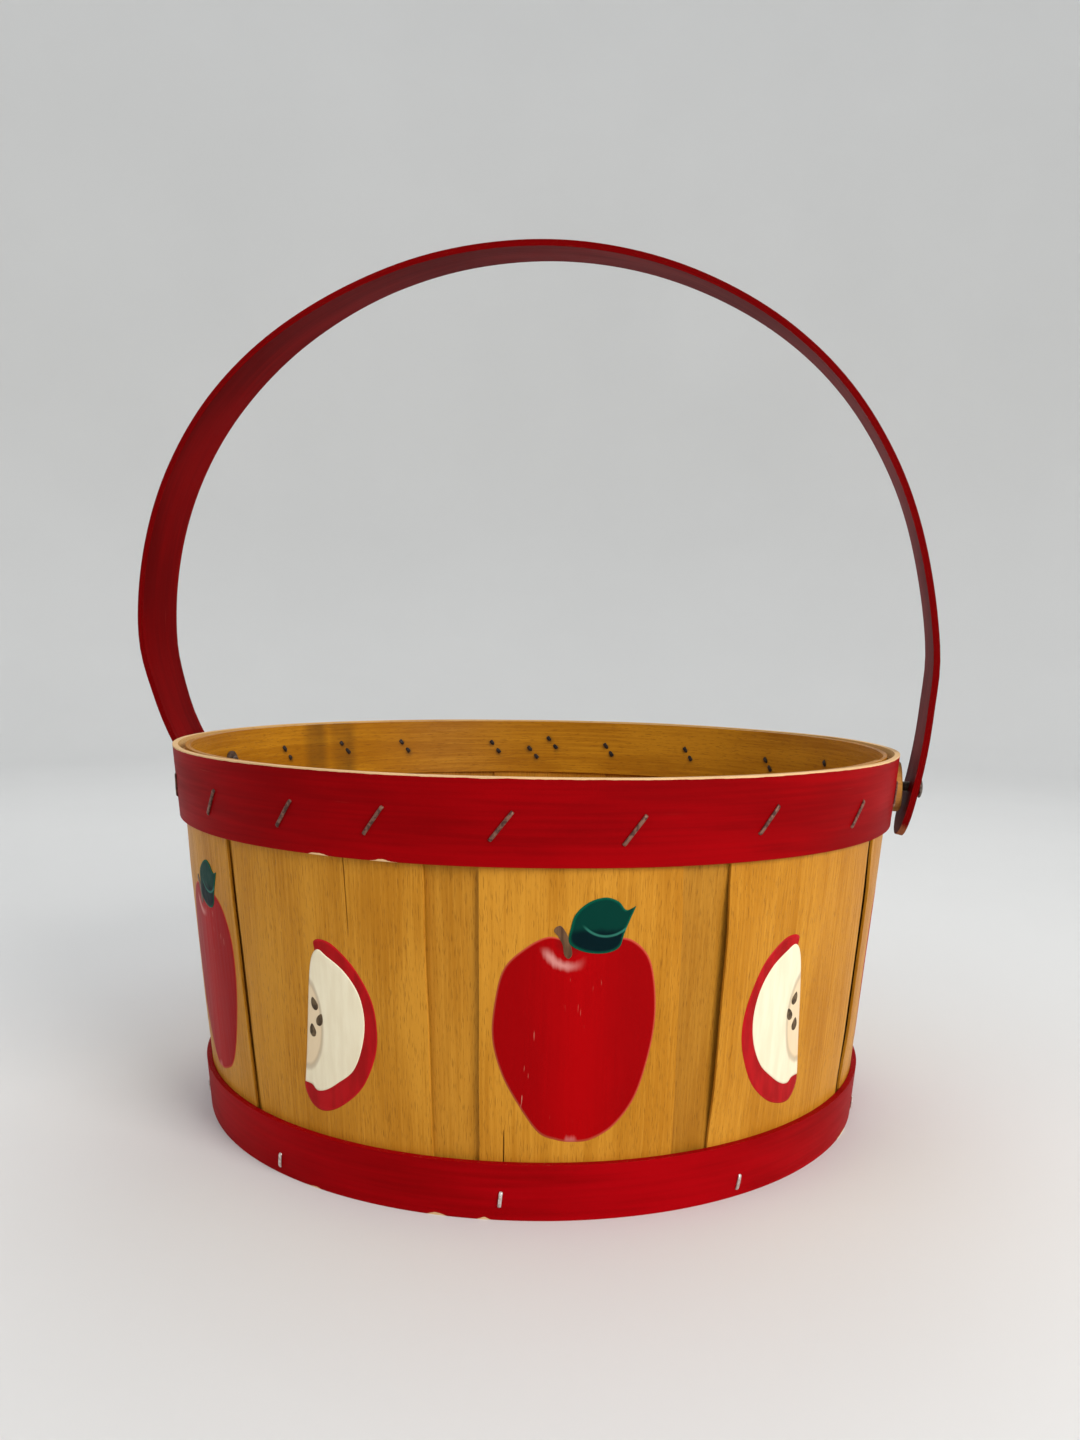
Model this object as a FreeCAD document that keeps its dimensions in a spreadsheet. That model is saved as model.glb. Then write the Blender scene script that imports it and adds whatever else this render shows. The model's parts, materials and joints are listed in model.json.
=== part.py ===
"""Round stave basket with a swing handle: thin bent-wood staves, three hoops, a solid wood bottom.

Frame: +Z is the basket's axis and points up, the basket stands on Z = 0, and the handle's pivot
axis runs along X.  Azimuths are in degrees round +Z, counted from -Y towards +X.  Lengths are in mm.
"""

import FreeCAD, Part
import math
import os
import Sketcher

doc = FreeCAD.newDocument("stave_basket")

# ---------------------------------------------------------------- driving dimensions
LENGTHS = {
    # the tapered wall, measured on the outside of the hoops
    "rim_radius": 152.0,
    "base_radius": 136.8,
    "basket_height": 147.4,
    # layers of the wall, from the outside in
    "hoop_thickness": 2.2,
    "stave_thickness": 1.2,
    "inner_hoop_thickness": 2.0,
    "layer_gap": 0.1,
    # hoops, staves and bottom
    "rim_band": 28.6,
    "base_band": 19.6,
    "stave_top_drop": 2.4,
    "stave_lift": 0.6,
    "inner_hoop_drop": 0.6,
    "inner_overlap_deg": 9.0,
    "disc_lift": 2.0,
    "disc_thickness": 9.5,
    # handle
    "pivot_height": 133.0,
    "pivot_half_span": 159.0,
    "bow_half_width": 170.5,
    "bow_top": 353.3,
    "bow_side_radius": 157.0,
    "bow_low_radius": 81.3,
    "leg_spread_deg": 13.0,
    "bow_rest_deg": 4.5,
    "bow_width": 26.0,
    "bow_thickness": 2.6,
    "leg_tail": 20.5,
    # pivot hardware
    "rivet_radius": 2.0,
    "bore_fit": 0.05,
    "wall_bore_fit": 0.1,
    "rivet_head_radius": 4.6,
    "rivet_head_height": 1.7,
    "rivet_head_gap": 1.4,
    "rivet_tail_radius": 3.1,
    "rivet_tail_height": 1.0,
    "spacer_radius": 10.5,
    "spacer_reach": 2.6,
    "spacer_chamfer": 0.8,
    "washer_radius": 5.2,
    "washer_thickness": 0.9,
    # staples
    "rim_staple_tilt_deg": 52.0,
    "rim_staple_crown": 11.5,
    "rim_staple_leg": 6.9,
    "base_staple_tilt_deg": 82.0,
    "base_staple_crown": 5.0,
    "base_staple_leg": 8.6,
    "staple_wire_width": 1.3,
    "staple_wire_thickness": 0.6,
    "staple_leg_width": 0.8,
    "staple_point": 2.6,
}

# outer staves, in order round the wall: azimuth of the middle and angular width
STAVES = [
    (17.0, 25.5),
    (53.0, 32.0),
    (88.2, 34.0),
    (126.0, 35.0),
    (167.0, 35.0),
    (204.5, 26.0),
    (239.5, 32.0),
    (273.0, 28.0),
    (309.0, 26.5),
    (340.2, 33.4),
]

# staples driven by hand, so unevenly spaced: azimuth and height of each crown's middle
STAPLES = {
    "rim_staple": [
        (7, 132),
        (23, 131),
        (41.5, 132.5),
        (60.5, 130.5),
        (82.5, 132),
        (101, 131),
        (118, 132.5),
        (136, 130),
        (156.5, 131.5),
        (175, 131.5),
        (187.5, 134.5),
        (192, 129),
        (200.5, 132),
        (221, 133),
        (235.5, 133.5),
        (251, 133),
        (284, 131),
        (302, 132),
        (321, 131),
        (337.5, 131.5),
        (351, 132),
    ],
    "base_staple": [
        (7, 7.4),
        (42.5, 5.2),
        (82, 5.6),
        (118, 6.6),
        (152, 5.4),
        (187, 6.8),
        (224, 5.9),
        (261, 6.4),
        (296, 5.5),
        (331, 5.2),
    ],
}


def fill_sheet():
    """Puts every driving dimension in the sheet, one alias per row."""
    table = doc.addObject("Spreadsheet::Sheet", "Dimensions")
    rows = list(LENGTHS.items())
    for number, (middle, width) in enumerate(STAVES, 1):
        rows.append((f"stave_middle_{number:02d}", middle))
        rows.append((f"stave_width_{number:02d}", width))
    for prefix, places in STAPLES.items():
        for number, (azimuth, height) in enumerate(places, 1):
            rows.append((f"{prefix}_azimuth_{number:02d}", azimuth))
            rows.append((f"{prefix}_height_{number:02d}", height))
    for row, (alias, value) in enumerate(rows, 1):
        table.set(f"A{row}", alias)
        table.set(f"B{row}", str(value))
        table.setAlias(f"B{row}", alias)
    doc.recompute()
    return table


sheet = fill_sheet()

X_AXIS = FreeCAD.Vector(1, 0, 0)
Y_AXIS = FreeCAD.Vector(0, 1, 0)
Z_AXIS = FreeCAD.Vector(0, 0, 1)


# ---------------------------------------------------------------- expressions on the sheet
def cell(alias):
    """The expression that reads a cell."""
    return f"Dimensions.{alias}"


def value_of(expression):
    """Evaluates an expression on the sheet."""
    return float(sheet.evalExpression(expression))


def size(alias):
    """The number in a cell."""
    return value_of(cell(alias))


def wall_radius(height, depth="0"):
    """Expression for the wall's radius at a height, a depth inside the hoops' outside."""
    slope = "(Dimensions.rim_radius - Dimensions.base_radius) / Dimensions.basket_height"
    return f"Dimensions.base_radius + {slope} * ({height}) - ({depth})"


# depths of the four layers' outer faces; the bottom disc fills the inner staves
OUTER_STAVE_DEPTH = "Dimensions.hoop_thickness + Dimensions.layer_gap"
INNER_STAVE_DEPTH = f"{OUTER_STAVE_DEPTH} + Dimensions.stave_thickness + Dimensions.layer_gap"
INNER_HOOP_DEPTH = f"{INNER_STAVE_DEPTH} + Dimensions.stave_thickness + Dimensions.layer_gap"
LINING_DEPTH = f"{INNER_HOOP_DEPTH} + Dimensions.inner_hoop_thickness"

# how far the wall leans out from upright
TAPER = math.degrees(math.atan2(size("rim_radius") - size("base_radius"), size("basket_height")))


# ---------------------------------------------------------------- helpers
def origin_plane(body, role):
    for feature in body.Origin.OriginFeatures:
        if feature.Role == role:
            return feature
    raise ValueError(role)


def hold(sketch, kind, places, expression):
    """Adds one dimension to a sketch and binds it to an expression."""
    item = sketch.addConstraint(Sketcher.Constraint(kind, *places, value_of(expression)))
    sketch.setExpression(f"Constraints[{item}]", expression)


def polygon_sketch(body, name, corners):
    """A closed outline in the body's XZ plane whose corners follow expressions (across, up)."""
    sketch = body.newObject("Sketcher::SketchObject", name)
    sketch.AttachmentSupport = [(origin_plane(body, "XZ_Plane"), "")]
    sketch.MapMode = "FlatFace"
    points = [(value_of(across), value_of(up)) for across, up in corners]
    count = len(points)
    for index in range(count):
        start = FreeCAD.Vector(*points[index], 0)
        end = FreeCAD.Vector(*points[(index + 1) % count], 0)
        sketch.addGeometry(Part.LineSegment(start, end), False)
    for index in range(count):
        sketch.addConstraint(Sketcher.Constraint("Coincident", index, 2, (index + 1) % count, 1))
    for index, (across, up) in enumerate(corners):
        hold(sketch, "DistanceX", (-1, 1, index, 1), across)
        hold(sketch, "DistanceY", (-1, 1, index, 1), up)
    return sketch


def turned_body(label, corners, angle="360"):
    """A PartDesign body: an outline turned about Z, half the angle to each side of +X."""
    body = doc.addObject("PartDesign::Body", label)
    body.Label = label
    sketch = polygon_sketch(body, f"{label}_outline", corners)
    turn = body.newObject("PartDesign::Revolution", f"{label}_turn")
    turn.Profile = (sketch, [""])
    turn.ReferenceAxis = (sketch, ["V_Axis"])
    turn.Midplane = True
    turn.setExpression("Angle", angle)
    body.Tip = turn
    return body


def wall_corners(depth, thickness, low, high):
    """The leaning section of one layer of the wall between two heights."""
    inside = f"{depth} + {thickness}"
    return [
        (wall_radius(low, inside), low),
        (wall_radius(low, depth), low),
        (wall_radius(high, depth), high),
        (wall_radius(high, inside), high),
    ]


def cut(label, base, tool):
    """Base less tool, under the sub-part's own label."""
    result = doc.addObject("Part::Cut", label)
    result.Label = label
    result.Base = base
    result.Tool = tool
    return result


def cylinder_along_x(label, radius, half_length):
    """A cylinder on the handle's pivot axis, reaching half_length to each side of the middle."""
    rod = doc.addObject("Part::Cylinder", label)
    rod.Label = label
    rod.setExpression("Radius", radius)
    rod.setExpression("Height", f"2 * ({half_length})")
    rod.Placement = FreeCAD.Placement(FreeCAD.Vector(), FreeCAD.Rotation(Y_AXIS, 90))
    rod.setExpression("Placement.Base.x", f"-({half_length})")
    rod.setExpression("Placement.Base.z", cell("pivot_height"))
    return rod


def turn_to(body, azimuth):
    """Turns a body built about +X to an azimuth counted from -Y towards +X."""
    body.Placement = FreeCAD.Placement(FreeCAD.Vector(), FreeCAD.Rotation(Z_AXIS, 1))
    body.setExpression("Placement.Rotation.Angle", f"({azimuth} - 90) * 1 deg")


PARTS = []


def part(obj):
    """Lists an object as one of the sub-parts that are written out."""
    PARTS.append(obj)


# ---------------------------------------------------------------- bottom
def build_bottom():
    disc = doc.addObject("Part::Cone", "bottom_disc")
    disc.Label = "bottom_disc"
    top = "Dimensions.disc_lift + Dimensions.disc_thickness"
    disc.setExpression("Radius1", wall_radius(cell("disc_lift"), INNER_HOOP_DEPTH))
    disc.setExpression("Radius2", wall_radius(top, INNER_HOOP_DEPTH))
    disc.setExpression("Height", cell("disc_thickness"))
    disc.setExpression("Placement.Base.z", cell("disc_lift"))
    part(disc)


# ---------------------------------------------------------------- hoops
def build_hoops(bore):
    rim_low = "Dimensions.basket_height - Dimensions.rim_band"
    rim = turned_body(
        "top_outer_hoop_strip",
        wall_corners("0", cell("hoop_thickness"), rim_low, cell("basket_height")),
    )
    part(cut("top_outer_hoop", rim, bore))
    lining_high = "Dimensions.basket_height - Dimensions.inner_hoop_drop"
    lining = turned_body(
        "top_inner_hoop_strip",
        wall_corners(INNER_HOOP_DEPTH, cell("inner_hoop_thickness"), rim_low, lining_high),
    )
    part(cut("top_inner_hoop", lining, bore))
    base = wall_corners("0", cell("hoop_thickness"), "0", cell("base_band"))
    part(turned_body("bottom_hoop", base))


# ---------------------------------------------------------------- staves
def build_staves(bore):
    """Outer staves with gaps between them, and inner staves that close the gaps from behind."""
    low = cell("stave_lift")
    high = "Dimensions.basket_height - Dimensions.stave_top_drop"
    outer_corners = wall_corners(OUTER_STAVE_DEPTH, cell("stave_thickness"), low, high)
    inner_corners = wall_corners(INNER_STAVE_DEPTH, cell("stave_thickness"), low, high)
    count = len(STAVES)
    for number in range(1, count + 1):
        label = f"outer_stave_{number:02d}"
        middle, width = cell(f"stave_middle_{number:02d}"), cell(f"stave_width_{number:02d}")
        half = value_of(width) / 2
        bored = any(abs(value_of(middle) - pivot) < half for pivot in (90, 270))
        stave = turned_body(label + "_strip" if bored else label, outer_corners, width)
        turn_to(stave, middle)
        part(cut(label, stave, bore) if bored else stave)
    for number in range(1, count + 1):
        following = number % count + 1
        whole_turn = 360 if following == 1 else 0
        gap_start = f"(Dimensions.stave_middle_{number:02d} + Dimensions.stave_width_{number:02d} / 2)"
        gap_end = (
            f"(Dimensions.stave_middle_{following:02d}"
            f" - Dimensions.stave_width_{following:02d} / 2 + {whole_turn})"
        )
        width = f"{gap_end} - {gap_start} + 2 * Dimensions.inner_overlap_deg"
        stave = turned_body(f"inner_stave_{number:02d}", inner_corners, width)
        turn_to(stave, f"({gap_start} + {gap_end}) / 2")
        part(stave)


# ---------------------------------------------------------------- handle
def bow_points():
    """Centres, radii and joins of the bow's outside line, worked out from the sheet.

    The low bend meets the side at the widest point, so both have their centres at that height.
    """
    spread = math.radians(size("leg_spread_deg"))
    half_width, top = size("bow_half_width"), size("bow_top")
    side, low = size("bow_side_radius"), size("bow_low_radius")
    pivot_x, pivot_z = size("pivot_half_span"), size("pivot_height")
    inset = half_width - pivot_x - low * (1 - math.cos(spread))
    bend = (pivot_x + inset, pivot_z + inset / math.tan(spread))
    foot = (pivot_x - size("leg_tail") * math.tan(spread), pivot_z - size("leg_tail"))
    wide_z = bend[1] + low * math.sin(spread)
    rise, side_x = top - wide_z, half_width - side
    crown = (rise**2 + side_x**2 - side**2) / (2 * (rise - side))
    meet = math.atan2(wide_z - (top - crown), side_x)
    return spread, foot, bend, wide_z, crown, meet


def bow_line():
    """The outside line of the bent strip: leg, low bend, side, crown, side, low bend, leg."""
    spread, foot, bend, wide_z, crown, meet = bow_points()
    top, side, low = size("bow_top"), size("bow_side_radius"), size("bow_low_radius")
    side_x, low_x = size("bow_half_width") - side, size("bow_half_width") - low
    pivot_x, pivot_z = size("pivot_half_span"), size("pivot_height")

    def arc(centre_x, centre_z, radius, start, end):
        circle = Part.Circle(FreeCAD.Vector(centre_x, centre_z, 0), Z_AXIS, radius)
        return Part.ArcOfCircle(circle, start, end)

    def line(start, end):
        return Part.LineSegment(FreeCAD.Vector(*start, 0), FreeCAD.Vector(*end, 0))

    sketch = doc.addObject("Sketcher::SketchObject", "handle_bow_line")
    sketch.Placement = FreeCAD.Placement(FreeCAD.Vector(), FreeCAD.Rotation(X_AXIS, 90))
    curves = [
        line(foot, bend),
        arc(low_x, wide_z, low, -spread, 0),
        arc(side_x, wide_z, side, 0, meet),
        arc(0, top - crown, crown, meet, math.pi - meet),
        arc(-side_x, wide_z, side, math.pi - meet, math.pi),
        arc(-low_x, wide_z, low, math.pi, math.pi + spread),
        line((-bend[0], bend[1]), (-foot[0], foot[1])),
    ]
    sketch.addGeometry(curves, False)
    right_leg, right_low, right_side, crown_arc, left_side, left_low, left_leg = range(7)
    for before, after in zip(range(6), range(1, 7)):
        sketch.addConstraint(Sketcher.Constraint("Tangent", before, 2, after, 1))

    marks = [(0, top), (pivot_x, pivot_z), (-pivot_x, pivot_z)]
    sketch.addGeometry([Part.Point(FreeCAD.Vector(x, z, 0)) for x, z in marks], True)
    top_mark, right_mark, left_mark = range(7, 10)
    for point, place, curve in (
        (crown_arc, 3, -2),
        (top_mark, 1, -2),
        (top_mark, 1, crown_arc),
        (right_mark, 1, right_leg),
        (left_mark, 1, left_leg),
    ):
        sketch.addConstraint(Sketcher.Constraint("PointOnObject", point, place, curve))
    sketch.addConstraint(Sketcher.Constraint("Horizontal", right_side, 3, right_low, 3))
    sketch.addConstraint(Sketcher.Constraint("Horizontal", left_side, 3, left_low, 3))

    for index in (right_side, left_side):
        hold(sketch, "Radius", (index,), cell("bow_side_radius"))
    for index in (right_low, left_low):
        hold(sketch, "Radius", (index,), cell("bow_low_radius"))
    side_centre = "Dimensions.bow_half_width - Dimensions.bow_side_radius"
    foot_height = "Dimensions.pivot_height - Dimensions.leg_tail"
    hold(sketch, "DistanceX", (-1, 1, right_side, 3), side_centre)
    hold(sketch, "DistanceX", (left_side, 3, -1, 1), side_centre)
    hold(sketch, "DistanceX", (-1, 1, right_mark, 1), cell("pivot_half_span"))
    hold(sketch, "DistanceX", (left_mark, 1, -1, 1), cell("pivot_half_span"))
    hold(sketch, "DistanceY", (-1, 1, right_mark, 1), cell("pivot_height"))
    hold(sketch, "DistanceY", (-1, 1, left_mark, 1), cell("pivot_height"))
    hold(sketch, "DistanceY", (-1, 1, top_mark, 1), cell("bow_top"))
    hold(sketch, "DistanceY", (-1, 1, right_leg, 1), foot_height)
    hold(sketch, "DistanceY", (-1, 1, left_leg, 2), foot_height)
    upright = sketch.addConstraint(Sketcher.Constraint("Angle", right_leg, math.pi / 2 - spread))
    sketch.setExpression(f"Constraints[{upright}]", "(90 - Dimensions.leg_spread_deg) * 1 deg")
    return sketch


def build_handle():
    """A flat strip bent to a bow, with rounded feet and a bore for each rivet."""
    section = doc.addObject("Part::Offset2D", "handle_bow_section")
    section.Source = bow_line()
    section.setExpression("Value", cell("bow_thickness"))
    section.Mode = "Skin"
    section.Join = "Intersection"
    section.Fill = True

    strip = doc.addObject("Part::Extrusion", "handle_bow_strip")
    strip.Base = section
    strip.DirMode = "Custom"
    strip.Dir = Y_AXIS
    strip.Solid = True
    strip.Symmetric = True
    strip.setExpression("LengthFwd", cell("bow_width"))

    # the strip's outline seen along X: straight sides and a half-round foot
    half = "Dimensions.bow_width / 2"
    reach = "Dimensions.bow_half_width + 10"
    foot_centre = f"Dimensions.pivot_height - Dimensions.leg_tail + {half}"
    foot = cylinder_along_x("handle_bow_foot", half, reach)
    foot.setExpression("Placement.Base.z", foot_centre)
    above = doc.addObject("Part::Box", "handle_bow_above")
    above.setExpression("Length", f"2 * ({reach})")
    above.setExpression("Width", cell("bow_width"))
    above.setExpression("Height", f"Dimensions.bow_top - ({foot_centre}) + 10")
    above.setExpression("Placement.Base.x", f"-({reach})")
    above.setExpression("Placement.Base.y", f"-{half}")
    above.setExpression("Placement.Base.z", foot_centre)
    side_view = doc.addObject("Part::MultiFuse", "handle_bow_side_view")
    side_view.Shapes = [foot, above]

    rounded = doc.addObject("Part::MultiCommon", "handle_bow_rounded")
    rounded.Shapes = [strip, side_view]
    bore_radius = "Dimensions.rivet_radius + Dimensions.bore_fit"
    bow = cut("handle_bow", rounded, cylinder_along_x("handle_bow_bore", bore_radius, reach))

    # at rest it leans to the front, turned about the pivot axis
    rest = "Dimensions.bow_rest_deg * 1 deg"
    bow.Placement = FreeCAD.Placement(FreeCAD.Vector(), FreeCAD.Rotation(X_AXIS, 1))
    bow.setExpression("Placement.Rotation.Angle", rest)
    bow.setExpression("Placement.Base.y", f"Dimensions.pivot_height * sin({rest})")
    bow.setExpression("Placement.Base.z", f"Dimensions.pivot_height * (1 - cos({rest}))")
    part(bow)


# ---------------------------------------------------------------- pivots
def build_pivots():
    """At each side a rivet, a wooden spacer shaped to the hoop, and a washer inside the wall."""
    above_rim = "Dimensions.basket_height + 20"
    hoop_outside = doc.addObject("Part::Cone", "hoop_outside")
    hoop_outside.setExpression("Radius1", wall_radius("0") + " + Dimensions.layer_gap")
    hoop_outside.setExpression("Radius2", wall_radius(above_rim) + " + Dimensions.layer_gap")
    hoop_outside.setExpression("Height", above_rim)

    hoop_x = wall_radius(cell("pivot_height"))
    lining_x = wall_radius(cell("pivot_height"), LINING_DEPTH)
    head_x = "Dimensions.pivot_half_span + Dimensions.rivet_head_gap"
    tail_x = f"{lining_x} - Dimensions.washer_thickness - 0.9"
    tip_x = f"{tail_x} - Dimensions.rivet_tail_height"
    rivet_corners = [
        ("0", tip_x),
        ("Dimensions.rivet_tail_radius * 0.75", tip_x),
        (cell("rivet_tail_radius"), f"{tip_x} + 0.4"),
        (cell("rivet_tail_radius"), tail_x),
        (cell("rivet_radius"), tail_x),
        (cell("rivet_radius"), head_x),
        (cell("rivet_head_radius"), head_x),
        (cell("rivet_head_radius"), f"{head_x} + Dimensions.rivet_head_height * 0.2"),
        ("Dimensions.rivet_head_radius * 0.8", f"{head_x} + Dimensions.rivet_head_height * 0.68"),
        ("Dimensions.rivet_head_radius * 0.45", f"{head_x} + Dimensions.rivet_head_height * 0.93"),
        ("0", f"{head_x} + Dimensions.rivet_head_height"),
    ]
    wall_bore = "Dimensions.rivet_radius + Dimensions.wall_bore_fit"
    face_x = f"{hoop_x} + Dimensions.spacer_reach"
    behind_face = f"{hoop_x} - 4"
    spacer_corners = [
        (wall_bore, behind_face),
        (cell("spacer_radius"), behind_face),
        (cell("spacer_radius"), f"{face_x} - Dimensions.spacer_chamfer"),
        ("Dimensions.spacer_radius - Dimensions.spacer_chamfer", face_x),
        (wall_bore, face_x),
    ]
    washer_bore = "Dimensions.rivet_radius + 0.2"
    washer_corners = [
        (washer_bore, "-Dimensions.washer_thickness"),
        (cell("washer_radius"), "-Dimensions.washer_thickness"),
        (cell("washer_radius"), "0"),
        (washer_bore, "0"),
    ]
    height = size("pivot_height")
    washer_x = value_of(lining_x) - 0.35
    for side, sign, turn in (("right", 1, 0), ("left", -1, 180)):
        round_z = FreeCAD.Rotation(Z_AXIS, turn)
        at_pivot = FreeCAD.Placement(
            FreeCAD.Vector(0, 0, height), round_z * FreeCAD.Rotation(Y_AXIS, 90)
        )
        rivet = turned_body(f"{side}_rivet", rivet_corners)
        rivet.Placement = at_pivot
        part(rivet)

        blank = turned_body(f"{side}_spacer_blank", spacer_corners)
        blank.Placement = at_pivot
        part(cut(f"{side}_spacer", blank, hoop_outside))

        washer = turned_body(f"{side}_washer", washer_corners)
        leaning = round_z * FreeCAD.Rotation(Y_AXIS, 90 + TAPER)
        washer.Placement = FreeCAD.Placement(FreeCAD.Vector(sign * washer_x, 0, height), leaning)
        part(washer)


# ---------------------------------------------------------------- staples
def staple_shape(prefix):
    """One staple, its crown along Y with its inside face at X = 0; the wall is on the -X side."""
    crown, leg = size(f"{prefix}_crown"), size(f"{prefix}_leg")
    width, thick = size("staple_wire_width"), size("staple_wire_thickness")
    leg_width, point = size("staple_leg_width"), size("staple_point")
    end = crown / 2

    def bar(low_x, high_x, low_y, high_y, across):
        corner = FreeCAD.Vector(low_x, low_y, -across / 2)
        return Part.makeBox(high_x - low_x, high_y - low_y, across, corner)

    bars = [bar(0, thick, -end, end, width)]
    bars.append(bar(-leg, thick, -end, leg_width - end, leg_width))
    bars.append(bar(-leg, thick, end - leg_width, end, leg_width))
    if prefix == "rim_staple":
        bars.append(bar(-leg - thick, -leg, -end, point - end, width))
        bars.append(bar(-leg - thick, -leg, end - point, end, width))
    return bars[0].multiFuse(bars[1:]).removeSplitter()


def build_staples(label, prefix):
    """Staples round the hoop at their places, tilted and leaning with the wall."""
    staple = staple_shape(prefix)
    stance = FreeCAD.Rotation(Y_AXIS, TAPER) * FreeCAD.Rotation(X_AXIS, size(f"{prefix}_tilt_deg"))
    ring = []
    for number in range(1, len(STAPLES[prefix]) + 1):
        height = size(f"{prefix}_height_{number:02d}")
        seat = FreeCAD.Vector(value_of(wall_radius(str(height))) + 0.05, 0, height)
        turn = FreeCAD.Rotation(Z_AXIS, size(f"{prefix}_azimuth_{number:02d}") - 90)
        copy = staple.copy()
        copy.Placement = FreeCAD.Placement(FreeCAD.Vector(), turn) * FreeCAD.Placement(seat, stance)
        ring.append(copy)
    group = doc.addObject("Part::Feature", label)
    group.Label = label
    group.Shape = Part.makeCompound(ring)
    part(group)


# ---------------------------------------------------------------- the basket
def check_and_write():
    doc.recompute()
    broken = [obj.Name for obj in doc.Objects if {"Invalid", "Error"} & set(obj.State)]
    if broken:
        raise RuntimeError(f"failed objects: {broken}")
    for obj in PARTS:
        if obj.Shape.isNull() or not obj.Shape.isValid() or not obj.Shape.Solids:
            raise RuntimeError(f"bad shape: {obj.Label}")
    os.makedirs("parts", exist_ok=True)
    for obj in PARTS:
        obj.Shape.exportStep(os.path.join("parts", obj.Label + ".step"))
        volume = obj.Shape.Volume / 1000
        print(f"{obj.Label:16s} {len(obj.Shape.Solids):3d} solids {volume:9.3f} cm3")


wall_bore_tool = cylinder_along_x(
    "rivet_bore",
    "Dimensions.rivet_radius + Dimensions.wall_bore_fit",
    "Dimensions.rim_radius + 10",
)
build_bottom()
build_hoops(wall_bore_tool)
build_staves(wall_bore_tool)
build_handle()
build_pivots()
build_staples("rim_staples", "rim_staple")
build_staples("base_staples", "base_staple")
check_and_write()
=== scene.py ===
"""Looks of a stave fruit basket: bent veneer staves, painted hoops, a bow handle and painted apples.

Frame: metres, +Z up the basket's axis, X along the handle's pivot axis, -Y the front.
Azimuths are in degrees round +Z, counted from -Y towards +X.
"""

import json
import math
import random

import bmesh
import bpy
from mathutils import Matrix, Vector, noise


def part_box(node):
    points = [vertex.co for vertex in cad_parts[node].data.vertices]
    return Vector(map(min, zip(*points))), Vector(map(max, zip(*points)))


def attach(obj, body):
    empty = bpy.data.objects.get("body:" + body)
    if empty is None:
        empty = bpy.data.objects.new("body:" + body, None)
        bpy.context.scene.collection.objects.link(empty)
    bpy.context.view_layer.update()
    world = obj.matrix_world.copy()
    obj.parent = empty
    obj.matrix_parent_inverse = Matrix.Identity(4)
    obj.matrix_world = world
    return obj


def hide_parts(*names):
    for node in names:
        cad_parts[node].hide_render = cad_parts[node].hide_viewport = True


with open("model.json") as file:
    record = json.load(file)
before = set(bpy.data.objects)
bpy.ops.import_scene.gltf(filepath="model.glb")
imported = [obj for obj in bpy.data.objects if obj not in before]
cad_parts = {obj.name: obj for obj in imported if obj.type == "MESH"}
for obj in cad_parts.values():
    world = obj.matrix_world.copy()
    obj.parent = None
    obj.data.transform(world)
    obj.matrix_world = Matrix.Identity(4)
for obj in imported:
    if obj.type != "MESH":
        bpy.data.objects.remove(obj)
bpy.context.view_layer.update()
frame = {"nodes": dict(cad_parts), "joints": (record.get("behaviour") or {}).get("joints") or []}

MM = 0.001

# ---------------------------------------------------------------- sizes read from the frame
HOOP, STAVE, LINING, GAP = 2.2 * MM, 1.2 * MM, 2.0 * MM, 0.1 * MM
STAVE_DEPTH = HOOP + GAP
BACK_DEPTH = STAVE_DEPTH + STAVE + GAP
LINING_DEPTH = BACK_DEPTH + STAVE + GAP
INSIDE_DEPTH = LINING_DEPTH + LINING


def cad_points(node):
    return [v.co for v in frame["nodes"][node].data.vertices]


def span(node):
    """Azimuths of the two edges of a CAD sector."""
    points = cad_points(node)
    middle = sum((Vector((p.x, p.y)) for p in points), Vector((0, 0)))
    centre = math.degrees(math.atan2(middle.x, -middle.y))
    turns = [(math.degrees(math.atan2(p.x, -p.y)) - centre + 180) % 360 - 180 for p in points]
    return centre + min(turns), centre + max(turns)


RIM_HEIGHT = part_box("top_outer_hoop")[1].z
RIM_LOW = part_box("top_outer_hoop")[0].z
BASE_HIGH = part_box("bottom_hoop")[1].z
RIM_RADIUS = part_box("top_outer_hoop")[1].x
BASE_RADIUS = max(math.hypot(p.x, p.y) for p in cad_points("bottom_hoop") if p.z < MM / 10)
SLOPE = (RIM_RADIUS - BASE_RADIUS) / RIM_HEIGHT
PIVOT = Vector(frame["joints"][0]["pos_m"])


def wall(azimuth, height, depth):
    """A point of the leaning wall, a depth inside the hoops' outside."""
    radius = BASE_RADIUS + SLOPE * height - depth
    turn = math.radians(azimuth)
    return Vector((radius * math.sin(turn), -radius * math.cos(turn), height))


def smooth(value, low, high):
    """0 below low, 1 above high, with a smooth step between."""
    x = min(max((value - low) / (high - low), 0.0), 1.0)
    return x * x * (3 - 2 * x)


def wobble(x, y, seed):
    """Gentle repeatable noise between about -1 and 1."""
    return noise.noise(Vector((x, y, seed * 7.31)))


def even(count, low=0.0, high=1.0):
    return [low + (high - low) * i / (count - 1) for i in range(count)]


# ---------------------------------------------------------------- mesh helpers
def add_object(name, data):
    made = bpy.data.objects.new(name, data)
    bpy.context.scene.collection.objects.link(made)
    return made


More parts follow.
